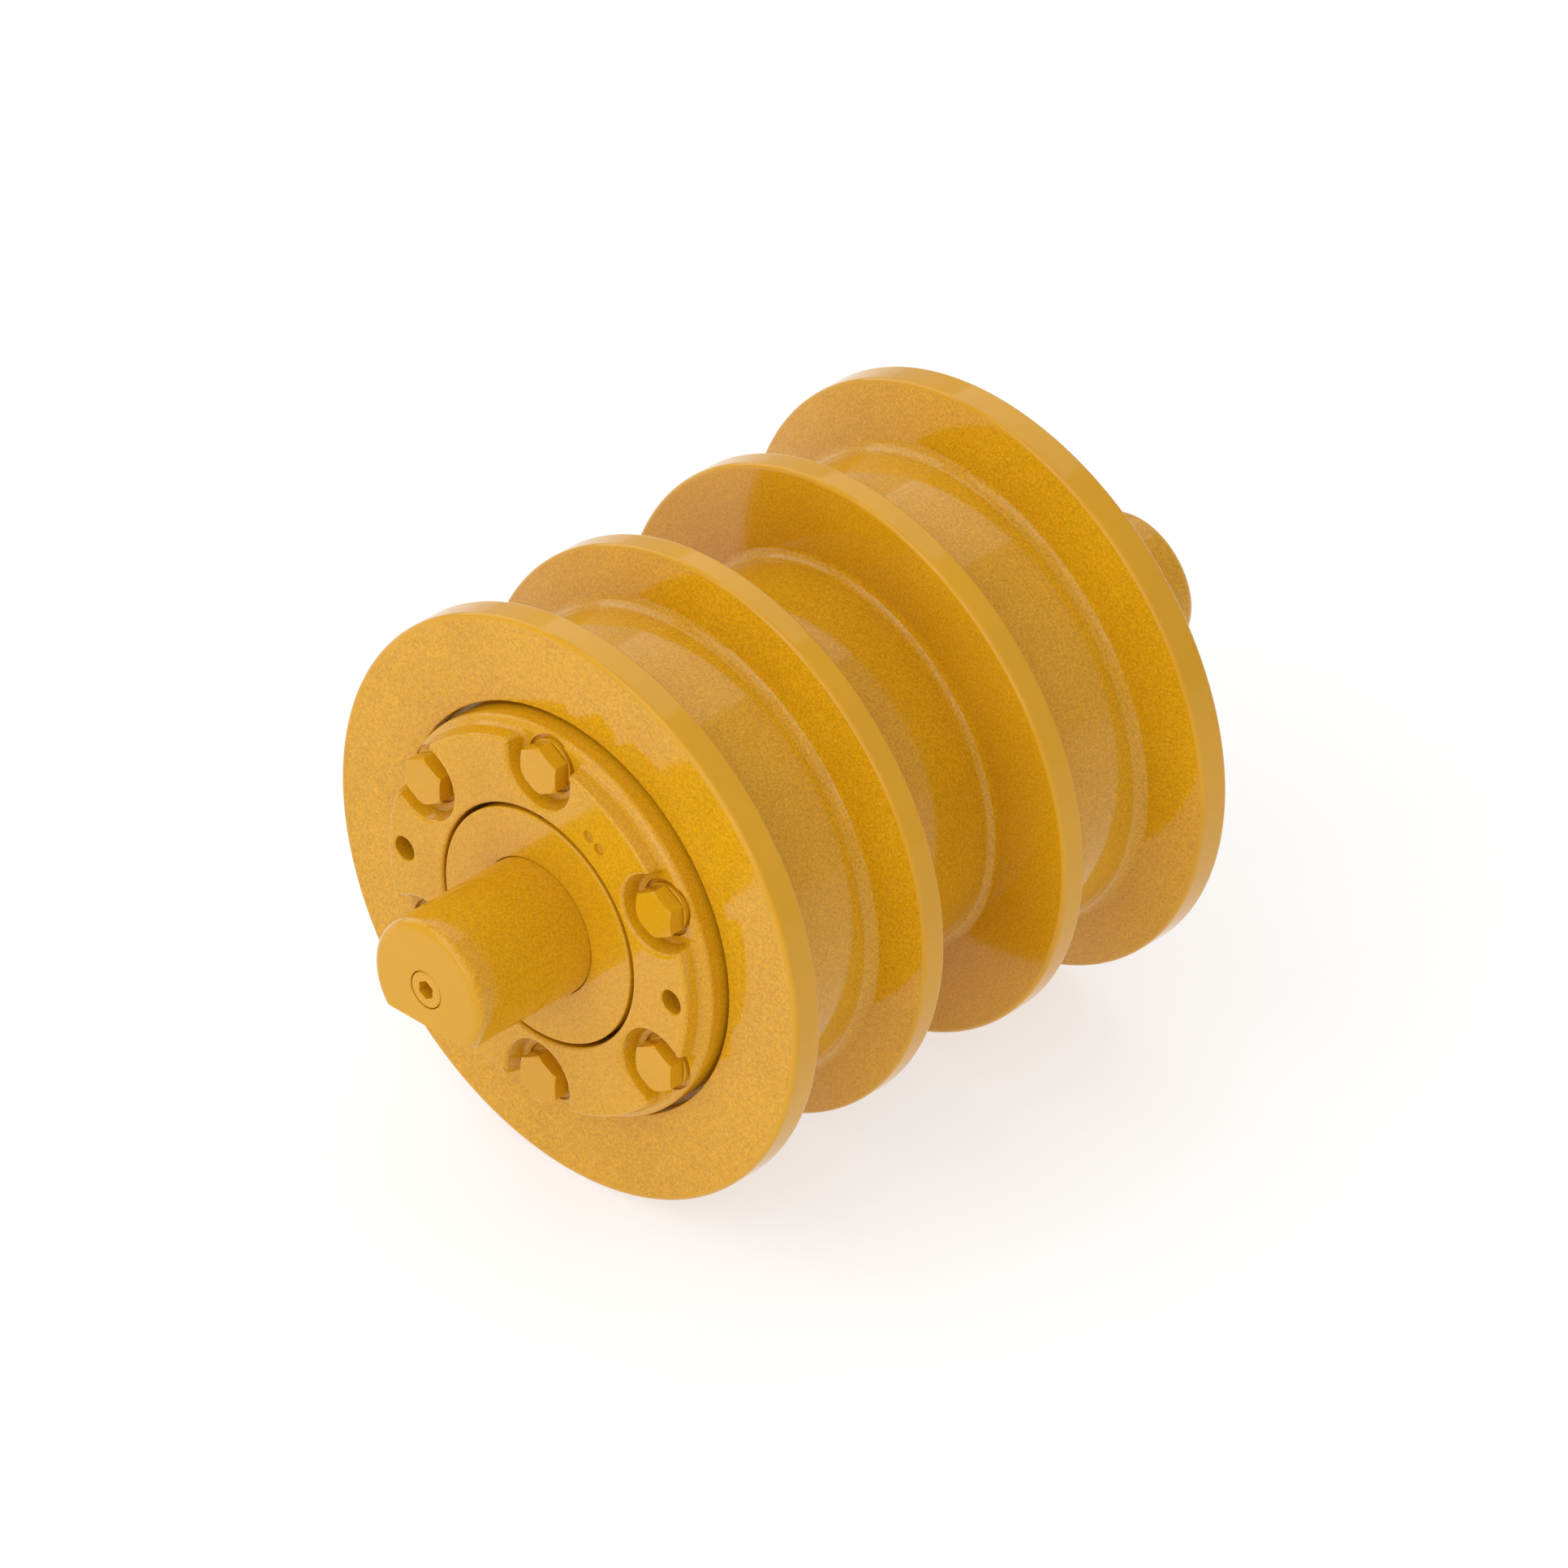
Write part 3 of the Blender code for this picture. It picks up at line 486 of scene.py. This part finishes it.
def makeOilPlug():
    s = plugSizes
    radius, low, high = reach("oil_plug")
    corners = [(0, high, 0), (radius, high, s["rounding"]), (radius, low, s["footRounding"]), (0, low, 0)]
    mesh = turnedMesh("oilPlug", corners, closed=False, segments=96)
    socket = prismMesh("socket", hexagon(s["socketFlats"], 30), high - s["socketDepth"], high + overshoot)
    mesh = boolean(mesh, socket)
    addPiece(
        "oilPlug", smoothed(mesh), [enamelOnFastener], "axle", "enamel_on_fastener", "oil_plug",
        matrix=halfTurn("front"),
    )


# end collars and retainers
collarSizes = {
    "boreRadius": 43.1,
    "hubRadius": 52.3,
    "hubEnd": 170.3,
    "housingRadius": 71.275,
    "housingFloorRadius": 69.875,
    "housingFloor": 178.0,
    "grooveRadius": 47.4,
    "groovePlace": 183.3,
    "grooveWidth": 5.4,
    "rounding": 1.4,
    "edgeRounding": 0.5,
    "mouthRounding": 0.4,
    "floorRounding": 1.5,
    "grooveRounding": 0.3,
}


def makeCollars():
    s = collarSizes
    radius, mouth, outer = reach("collar_rear")
    near = s["groovePlace"] - s["grooveWidth"] / 2
    far = s["groovePlace"] + s["grooveWidth"] / 2
    corners = [
        (s["boreRadius"], outer, s["edgeRounding"]),
        (radius, outer, s["rounding"]),
        (radius, mouth, s["mouthRounding"]),
        (s["housingRadius"], mouth, s["mouthRounding"]),
        (s["housingFloorRadius"], s["housingFloor"], s["floorRounding"]),
        (s["hubRadius"], s["housingFloor"], s["floorRounding"]),
        (s["hubRadius"], s["hubEnd"], s["edgeRounding"]),
        (s["boreRadius"], s["hubEnd"], s["edgeRounding"]),
        (s["boreRadius"], near, 0),
        (s["grooveRadius"], near, s["grooveRounding"]),
        (s["grooveRadius"], far, s["grooveRounding"]),
        (s["boreRadius"], far, 0),
    ]
    mesh = turnedMesh("collar", corners, segments=240)
    upright = Matrix.Rotation(math.radians(90), 4, "X")
    for side in sides:
        low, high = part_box("collar_pin_" + side)
        place = Matrix.Translation((0, (low.y + high.y) / 2, 0))
        holeRadius = shaftSizes["pinHoleRadius"]
        hole = rodMesh(holeRadius, s["boreRadius"] - overshoot, radius + overshoot, segments=32)
        turned = mesh.copy()
        turned.transform(halfTurn(side))
        cut = boolean(turned, joinedMesh("pinHole", [(hole, place @ upright)]))
        addPiece(
            "endCollar." + side, smoothed(cut), [enamelOnCasting], "axle", "enamel_on_casting",
            "collar_" + side,
        )


retainerSizes = {
    "boreRadius": 76.175,
    "boreRounding": 2.2,
    "padRadius": 119.3,
    "padRounding": 2.0,
    "padDraft": 0.9,  # how far a pad's wall leans out by its foot
    "padCorner": 3.5,  # rounding of the pads' corners, seen from the end
    "padFoot": 187.3,  # where a pad's wall would meet the sloping shoulder
    "padFillet": 7.0,
    "shoulderSlope": 34.0,  # degrees
    "shoulderRounding": 4.0,
    "seat": 163.3,
    "spigotRadius": 77.975,
    "grooveDepth": 4.3,
    "groovePlace": 133.3,
    "grooveWidth": 5.4,
    "bushingBore": 54.0,
    "housingFloor": 148.0,
    "housingFloorRadius": 69.875,
    "housingRadius": 71.275,
    "housingMouth": 161.5,
    "pocketRadius": 23.0,
    "pocketFloor": 186.0,
    "pocketDraft": 1.5,  # how far a pocket's wall leans in at the top
    "pocketFoot": 0.5,  # and out by its foot
    "pocketRounding": 3.0,
    "pocketFillet": 3.0,
    "spotRadius": 18.1,  # of the round seat that is cut for each washer
    "spotFloor": 183.2,
    "spotRounding": 0.4,
    "boltHoleRadius": 10.3,
    "jackHoleRadius": 7.5,
    "jackChamfer": 0.8,
    "jackRounding": 0.5,
    "edgeRounding": 0.6,
    "mouthRounding": 0.4,
    "floorRounding": 1.5,
    "grooveRounding": 0.3,
    "endRounding": 1.0,
    "innerRounding": 0.5,
    "markRadius": 4.0,  # of the two dimples in one pad, a plain foundry mark
    "markDepth": 2.8,
    "markTaper": 0.5,
    "markRounding": 1.2,
    "markCircle": 92.0,
    "markAngles": (57.5, 63.5),  # degrees, seen on the front retainer
    "segments": 240,
}


def padOutline():
    # the outer edge of the raised pads in X and Z, with a U-shaped notch at each bolt
    s = retainerSizes
    notchPoints, edgePoints = 18, 11
    pitch = math.radians(60)
    corners = []
    centres = [centre for _, centre in boltCentres("rear")]
    for centre in sorted(centres, key=lambda c: math.atan2(c.z, c.x)):
        angle = math.atan2(centre.z, centre.x)
        circle = math.hypot(centre.x, centre.z) / mm
        turn = Matrix.Rotation(angle, 2)
        halfNotch = math.asin(s["pocketRadius"] / s["padRadius"])
        for k in range(1, notchPoints + 1):  # the half circle, from one straight side to the other
            bend = math.radians(-90 - 180 * (k - 0.5) / notchPoints)
            inward, aside = s["pocketRadius"] * math.cos(bend), s["pocketRadius"] * math.sin(bend)
            corners.append((*(turn @ Vector((circle + inward, aside))), 0))
        edge = math.sqrt(s["padRadius"] ** 2 - s["pocketRadius"] ** 2)
        corners.append((*(turn @ Vector((edge, s["pocketRadius"]))), s["padCorner"]))
        span = pitch - 2 * halfNotch
        for k in range(1, edgePoints + 1):
            along = angle + halfNotch + span * k / (edgePoints + 1)
            corners.append((s["padRadius"] * math.cos(along), s["padRadius"] * math.sin(along), 0))
        following = Matrix.Rotation(angle + pitch, 2)
        corners.append((*(following @ Vector((edge, -s["pocketRadius"]))), s["padCorner"]))
    return roundedOutline(corners, arcStep=10)


def padsMesh():
    # the raised pads: rings of points that follow the outline down from the flat top
    s = retainerSizes
    _, _, top = reach("retainer_rear")
    outline = padOutline()
    count = len(outline)
    steps = 7
    floorLift, footLift = 0.02, 0.03  # so that the pads cross the body's faces and don't lie in them
    inset = 0.3  # of the first ring on the flat top
    lean = math.radians(90 - s["shoulderSlope"])
    filletTop = s["padFoot"] + s["padFillet"] * math.tan(lean / 2)
    notchWall, padWall = [], []  # (outward, place along the axis) from the top edge to the foot
    for k in range(steps + 1):  # rounding at the top edge
        side, fall = 1 - math.sin(math.pi / 2 * k / steps), 1 - math.cos(math.pi / 2 * k / steps)
        notchOut = -s["pocketDraft"] - s["pocketRounding"] * side
        notchWall.append((notchOut, top - s["pocketRounding"] * fall))
        padWall.append((-s["padRounding"] * side, top - s["padRounding"] * fall))
    for k in range(steps + 1):  # fillets at the foot
        quarter, part = math.pi / 2 * k / steps, lean * k / steps
        notchOut = s["pocketFoot"] + s["pocketFillet"] * (1 - math.cos(quarter))
        notchPlace = s["pocketFloor"] + floorLift + s["pocketFillet"] * (1 - math.sin(quarter))
        notchWall.append((notchOut, notchPlace))
        padOut = s["padDraft"] + footLift + s["padFillet"] * (1 - math.cos(part))
        padWall.append((padOut, filletTop + footLift - s["padFillet"] * math.sin(part)))
    notchWall.insert(0, (notchWall[0][0] - inset, top))
    padWall.insert(0, (padWall[0][0] - inset, top))
    skirt = s["spotFloor"] - overshoot
    notchWall.append((notchWall[-1][0], skirt))
    padWall.append((padWall[-1][0], skirt))

    shape = bmesh.new()
    rings = [[] for _ in notchWall]
    change = 4  # the length over which a pocket's wall turns into a pad's
    for i, point in enumerate(outline):
        along = (outline[(i + 1) % count] - outline[i - 1]).normalized()
        out = Vector((along.y, -along.x))
        share = min(1, max(0, (point.length - s["padRadius"] + change) / change))
        share = share * share * (3 - 2 * share)
        for ring, (notchOut, notchPlace), (padOut, padPlace) in zip(rings, notchWall, padWall):
            offset = notchOut + (padOut - notchOut) * share
            place = notchPlace + (padPlace - notchPlace) * share
            spot = point + out * offset
            ring.append(shape.verts.new((spot.x * mm, place * mm, spot.y * mm)))
    bore = s["boreRadius"] + floorLift
    boreWall = [(bore + s["boreRounding"] + inset, top)]
    for k in range(steps + 1):
        side, fall = 1 - math.sin(math.pi / 2 * k / steps), 1 - math.cos(math.pi / 2 * k / steps)
        boreWall.append((bore + s["boreRounding"] * side, top - s["boreRounding"] * fall))
    boreWall.append((bore, skirt))
    boreRings = []
    angles = [2 * math.pi * i / s["segments"] for i in range(s["segments"])]
    for radius, place in boreWall:
        spots = [(radius * mm * math.cos(a), place * mm, radius * mm * math.sin(a)) for a in angles]
        boreRings.append([shape.verts.new(spot) for spot in spots])
    for group in (rings, boreRings):
        for upper, lower in zip(group, group[1:]):
            size = len(upper)
            for i in range(size):
                shape.faces.new((upper[i], upper[(i + 1) % size], lower[(i + 1) % size], lower[i]))
    for outer, inner in ((rings[0], boreRings[0]), (rings[-1], boreRings[-1])):
        edges = []
        for loop in (outer, inner):
            for i in range(len(loop)):
                edges.append(shape.edges.get((loop[i], loop[(i + 1) % len(loop)])))
        bmesh.ops.triangle_fill(shape, use_beauty=True, edges=edges)
    return meshFrom(shape, "pads")


def retainerBodyMesh():
    s = retainerSizes
    radius, inner, _ = reach("retainer_rear")
    near = s["groovePlace"] - s["grooveWidth"] / 2
    far = s["groovePlace"] + s["grooveWidth"] / 2
    slope = math.tan(math.radians(s["shoulderSlope"]))
    foot = s["padRadius"] + s["padDraft"]
    corners = [
        (s["boreRadius"], s["pocketFloor"], 0),
        (foot + (s["padFoot"] - s["pocketFloor"]) / slope, s["pocketFloor"], s["endRounding"]),
        (radius, s["padFoot"] - (radius - foot) * slope, s["shoulderRounding"]),
        (radius, s["seat"], s["edgeRounding"]),
        (s["spigotRadius"], s["seat"], s["mouthRounding"]),
        (s["spigotRadius"], far, 0),
        (s["spigotRadius"] - s["grooveDepth"], far, s["grooveRounding"]),
        (s["spigotRadius"] - s["grooveDepth"], near, s["grooveRounding"]),
        (s["spigotRadius"], near, 0),
        (s["spigotRadius"], inner, s["endRounding"]),
        (s["bushingBore"], inner, s["edgeRounding"]),
        (s["bushingBore"], s["housingFloor"], s["edgeRounding"]),
        (s["housingFloorRadius"], s["housingFloor"], s["floorRounding"]),
        (s["housingRadius"], s["housingMouth"], s["mouthRounding"]),
        (s["boreRadius"], s["housingMouth"], s["innerRounding"]),
    ]
    return turnedMesh("retainer", corners, segments=s["segments"])


def makeRetainers():
    s = retainerSizes
    _, _, top = reach("retainer_rear")
    above, below = top + overshoot, s["seat"] - overshoot
    boltHole, jackHole, jackTop = s["boltHoleRadius"], s["jackHoleRadius"], top - s["jackChamfer"]
    seatCutter = [
        (0, above, 0), (s["spotRadius"], above, 0), (s["spotRadius"], s["spotFloor"], s["spotRounding"]),
        (boltHole, s["spotFloor"], 0), (boltHole, below, 0), (0, below, 0),
    ]
    jackCutter = [
        (0, above, 0), (jackHole + above - jackTop, above, 0), (jackHole, jackTop, s["jackRounding"]),
        (jackHole, below, 0), (0, below, 0),
    ]
    markTop = s["markDepth"] + overshoot
    markCutter = [
        (0, markTop, 0), (s["markRadius"], markTop, 0), (s["markRadius"], s["markDepth"], 0),
        (s["markRadius"] - s["markTaper"], 0, s["markRounding"]), (0, 0, 0),
    ]
    holes = []
    for _, centre in boltCentres("rear"):
        place = Matrix.Translation((centre.x, 0, centre.z))
        holes.append((turnedMesh("seat", seatCutter, False, 64), place))
    circle = math.hypot(centre.x, centre.z)
    for way in (1, -1):
        place = Matrix.Translation((way * circle, 0, 0))
        holes.append((turnedMesh("jackHole", jackCutter, False, 48), place))
    for degrees in s["markAngles"]:
        angle = math.radians(-degrees)
        x, z = s["markCircle"] * math.cos(angle), s["markCircle"] * math.sin(angle)
        place = Matrix.Translation((x * mm, (top - s["markDepth"]) * mm, z * mm))
        holes.append((turnedMesh("dimple", markCutter, False, 32), place))
    mesh = retainerBodyMesh()
    mesh = boolean(mesh, padsMesh(), "UNION")
    mesh = boolean(mesh, joinedMesh("holes", holes))
    smoothed(mesh, 30)
    for side in sides:
        addPiece(
            "retainer." + side, mesh, [enamelOnCasting], "roller", "enamel_on_casting",
            "retainer_" + side, matrix=halfTurn(side),
        )


# bolts and washers
boltSizes = {
    "flats": 27.6,
    "cornerRounding": 0.5,
    "faceRadius": 14.2,  # of the flat circle on the head
    "faceRounding": 0.5,
    "faceChamfer": 28.0,  # degrees
    "washerFace": 0.6,
    "washerFaceRadius": 13.4,
    "washerFaceRounding": 0.2,
    "washerGap": 0.1,
    "shankRadius": 9.5,
    "neckRounding": 0.8,
    "footRounding": 1.2,
}
washerSizes = {
    "boreRadius": 9.9,
    "radius": 15.4,
    "seat": 183.4,
    "thickness": 3.6,
    "rounding": 0.6,
    "boreRounding": 0.4,
}


def boltMesh(seat, top, foot):
    s = boltSizes
    corners = [(x, y, s["cornerRounding"]) for x, y in hexagon(s["flats"])]
    outline = [tuple(point) for point in roundedOutline(corners, arcStep=20)]
    head = prismMesh("head", outline, seat + s["washerFace"], top)
    wide = s["flats"] / 2 + overshoot
    fall = (wide - s["faceRadius"]) * math.tan(math.radians(s["faceChamfer"]))
    dome = [
        (0, top, 0), (s["faceRadius"], top, s["faceRounding"]), (wide, top - fall, 0),
        (wide, seat, 0), (0, seat, 0),
    ]
    head = boolean(head, turnedMesh("dome", dome, False, 96), "INTERSECT")
    inHead, inFace = top - 4, seat + 1  # the shank and its face reach up into the head
    radius, faceRadius = s["shankRadius"], s["washerFaceRadius"]
    shank = [
        (0, inHead, 0), (radius, inHead, 0), (radius, inFace, 0), (faceRadius, inFace, 0),
        (faceRadius, seat, s["washerFaceRounding"]), (radius, seat, s["neckRounding"]),
        (radius, foot, s["footRounding"]), (0, foot, 0),
    ]
    head = boolean(head, turnedMesh("shank", shank, False, 64), "UNION")
    head.name = "retainerBolt"
    return smoothed(head, 20)


def makeBoltsAndWashers():
    low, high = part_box("retainer_bolt_rear_1")
    s = washerSizes
    face = s["seat"] + s["thickness"]
    bolt = boltMesh(face + boltSizes["washerGap"], high.y / mm, low.y / mm)
    corners = [
        (s["boreRadius"], face, s["boreRounding"]), (s["radius"], face, s["rounding"]),
        (s["radius"], s["seat"], s["rounding"]), (s["boreRadius"], s["seat"], s["boreRounding"]),
    ]
    washer = smoothed(turnedMesh("washer", corners, segments=96))
    for side in sides:
        for number, centre in boltCentres(side):
            turn = Matrix.Rotation(-math.atan2(centre.z, centre.x), 4, "Y")
            seat = Matrix.Translation((centre.x, 0, centre.z)) @ turn @ halfTurn(side)
            for kind, mesh in (("bolt", bolt), ("washer", washer)):
                addPiece(
                    f"{kind}.{side}.{number}", mesh, [enamelOnFastener], "roller", "enamel_on_fastener",
                    f"retainer_{kind}_{side}_{number}", matrix=seat,
                )


# inside: bushings, face seals, rubber rings and pins
bushingSizes = {
    "boreRadius": 46.3,
    "sleeveRadius": 53.7,
    "flangeWidth": 8.0,
    "rounding": 0.8,
    "neckRounding": 0.4,
}
sealSizes = {
    "boreRadius": 53.0,
    "faceHeight": 14.0,
    "faceThickness": 4.0,
    "rampTop": 8.5,  # heights above the bore where the ramp for the rubber ring starts and ends
    "rampEnd": 5.5,
    "backRounding": 0.6,
    "rampRounding": 0.8,
    "lipRounding": 0.3,
    "faceRounding": 1.2,
    "plugSealRounding": 0.3,
    "plugSealGap": 0.3,
}
pinRounding = 0.6


def makeBushings():
    s = bushingSizes
    radius, inner, outer = reach("bushing_rear")
    flange = inner + s["flangeWidth"]
    rounding = s["rounding"]
    corners = [
        (s["boreRadius"], outer, rounding), (s["sleeveRadius"], outer, rounding),
        (s["sleeveRadius"], flange, s["neckRounding"]), (radius, flange, rounding),
        (radius, inner, rounding), (s["boreRadius"], inner, rounding),
    ]
    mesh = smoothed(turnedMesh("bushing", corners))
    for side in sides:
        addPiece(
            "bushing." + side, mesh, [bronze], "roller", "bronze", "bushing_" + side, matrix=halfTurn(side)
        )


def roundRing(node):
    # a rubber ring: its section is as thick as the node is wide along the axis
    radius, near, far = reach(node)
    section, middle = (far - near) / 2, (near + far) / 2
    sectionPoints = 24
    ringRadius = radius - section * math.cos(math.radians(30))  # the node's own section is a hexagon
    corners = []
    for k in range(sectionPoints):
        bend = 2 * math.pi * k / sectionPoints
        corners.append((ringRadius + section * math.cos(bend), middle + section * math.sin(bend), 0))
    return smoothed(turnedMesh("rubberRing", corners, segments=128))


def makeFaceSeals():
    s = sealSizes
    for kind, body in (("fixed", "axle"), ("turning", "roller")):
        _, near, far = reach(f"{kind}_seal_ring_rear")
        face, back = (near, far) if kind == "fixed" else (far, near)
        way = 1 if kind == "fixed" else -1
        ramp = face + way * s["faceThickness"]
        bore = s["boreRadius"]
        lip = bore + s["faceHeight"]
        corners = [
            (bore, back, s["backRounding"]), (bore + s["rampEnd"], back, s["rampRounding"]),
            (bore + s["rampTop"], ramp, s["backRounding"]), (lip, ramp, s["rampRounding"]),
            (lip, face, s["lipRounding"]), (bore, face, s["faceRounding"]),
        ]
        ring = smoothed(turnedMesh("sealRing", corners))
        toric = roundRing(f"{kind}_seal_toric_rear")
        for side in sides:
            addPiece(
                f"{kind}SealRing.{side}", ring, [whiteIron], body, "lapped_iron",
                f"{kind}_seal_ring_{side}", matrix=halfTurn(side),
            )
            addPiece(
                f"{kind}SealToric.{side}", toric, [rubber], body, "nitrile_rubber",
                f"{kind}_seal_toric_{side}", matrix=halfTurn(side),
            )


def makeRubberRings():
    for kind, body in (("collar", "axle"), ("retainer", "roller")):
        ring = roundRing(f"{kind}_o_ring_rear")
        for side in sides:
            addPiece(
                f"{kind}Ring.{side}", ring, [rubber], body, "nitrile_rubber", f"{kind}_o_ring_{side}",
                matrix=halfTurn(side),
            )
    radius, low, high = reach("oil_plug_seal")
    bore = shaftSizes["galleryRadius"] + sealSizes["plugSealGap"]
    edges = [(bore, high), (radius, high), (radius, low), (bore, low)]
    corners = [(*edge, sealSizes["plugSealRounding"]) for edge in edges]
    seal = smoothed(turnedMesh("plugSeal", corners, segments=64))
    addPiece("plugSeal", seal, [rubber], "axle", "nitrile_rubber", "oil_plug_seal", matrix=halfTurn("front"))


def makePins():
    upright = Matrix.Rotation(math.radians(90), 4, "X")
    for side in sides:
        low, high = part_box("collar_pin_" + side)
        radius, foot, head = (high.x - low.x) / 2 / mm, low.z / mm, high.z / mm
        corners = [(0, head, 0), (radius, head, pinRounding), (radius, foot, pinRounding), (0, foot, 0)]
        pin = smoothed(turnedMesh("collarPin", corners, closed=False, segments=32))
        place = Matrix.Translation((0, (low.y + high.y) / 2, 0)) @ upright
        addPiece(
            "collarPin." + side, pin, [dowelSteel], "axle", "pin_steel", "collar_pin_" + side, matrix=place
        )


makeShell()
print("shell done")
makeShaft()
makeOilPlug()
print("shaft and plug done")
makeCollars()
makeRetainers()
print("collars and retainers done")
makeBoltsAndWashers()
print("bolts and washers done")
makeBushings()
makeFaceSeals()
makeRubberRings()
makePins()
print("inner pieces done")


# studio
studio = {
    "floorSize": 30.0,  # metres
    "floorGap": 0.0002,  # metres, below the roller
    "floor": "#ABABAA",
    "floorGlow": 0.63,  # the sheet is lit from below, so that it stays near white with a faint shadow
    "world": "#FFFFFF",
    "worldStrength": 0.69,
}

# soft boxes: compass bearing from +X towards +Y and height above the floor, in degrees,
# then distance, width and height in metres, and watts
softBoxes = {
    "frontKey": (270, 30, 2.6, 1.8, 1.8, 12.0),
    "frontTop": (250, 60, 2.6, 1.8, 1.8, 10.6),
    "besideCamera": (315, 35, 2.6, 1.8, 1.8, 6.4),
    "lowFill": (290, 12, 2.6, 1.8, 0.8, 5.7),
    "backTop": (125, 50, 2.6, 2.0, 2.0, 9.9),
    "leftSide": (180, 30, 2.6, 1.8, 1.8, 10.1),
}
cameraView = {"frameWidth": 0.8887, "towards": (1, -1, 1), "distance": 2.5, "aimHeight": -0.0005}  # metres


def makeFloor():
    shape = bmesh.new()
    bmesh.ops.create_grid(shape, x_segments=1, y_segments=1, size=studio["floorSize"] / 2)
    mesh = bpy.data.meshes.new("floor")
    shape.to_mesh(mesh)
    shape.free()
    floor = bpy.data.objects.new("floor", mesh)
    floor.location.z = cadLow.z - studio["floorGap"]
    bpy.context.scene.collection.objects.link(floor)
    material, _ = startMaterial("paleFloor")
    shader = addNode(
        material, "ShaderNodeBsdfPrincipled",
        {
            "Base Color": linearColour(studio["floor"]), "Roughness": 0.95, "Specular IOR Level": 0.0,
            "Emission Color": (1, 1, 1, 1), "Emission Strength": studio["floorGlow"],
        },
    )
    mesh.materials.append(finishMaterial(material, shader, studio["floor"]))


def makeSoftBox(name, bearing, height, distance, width, tall, watts):
    data = bpy.data.lights.new(name, "AREA")
    data.shape = "RECTANGLE"
    data.size = width
    data.size_y = tall
    data.energy = watts
    aside, up = math.radians(bearing), math.radians(height)
    back = Vector((math.cos(aside) * math.cos(up), math.sin(aside) * math.cos(up), math.sin(up)))
    light = bpy.data.objects.new(name, data)
    light.location = back * distance
    light.rotation_mode = "QUATERNION"
    light.rotation_quaternion = (-back).to_track_quat("-Z", "Y")
    bpy.context.scene.collection.objects.link(light)


def makeWorld():
    world = bpy.data.worlds.new("studio")
    world.use_nodes = True
    background = world.node_tree.nodes["Background"]
    background.inputs["Color"].default_value = linearColour(studio["world"])
    background.inputs["Strength"].default_value = studio["worldStrength"]
    bpy.context.scene.world = world


def makeCamera():
    data = bpy.data.cameras.new("camera")
    data.type = "ORTHO"
    data.ortho_scale = cameraView["frameWidth"]
    camera = bpy.data.objects.new("camera", data)
    back = Vector(cameraView["towards"]).normalized()
    camera.location = back * cameraView["distance"] + Vector((0, 0, cameraView["aimHeight"]))
    camera.rotation_mode = "QUATERNION"
    camera.rotation_quaternion = (-back).to_track_quat("-Z", "Y")
    bpy.context.scene.collection.objects.link(camera)
    bpy.context.scene.camera = camera


makeFloor()
makeWorld()
for name, box in softBoxes.items():
    makeSoftBox(name, *box)
makeCamera()
bpy.context.scene.view_settings.view_transform = "Standard"
print("studio done")
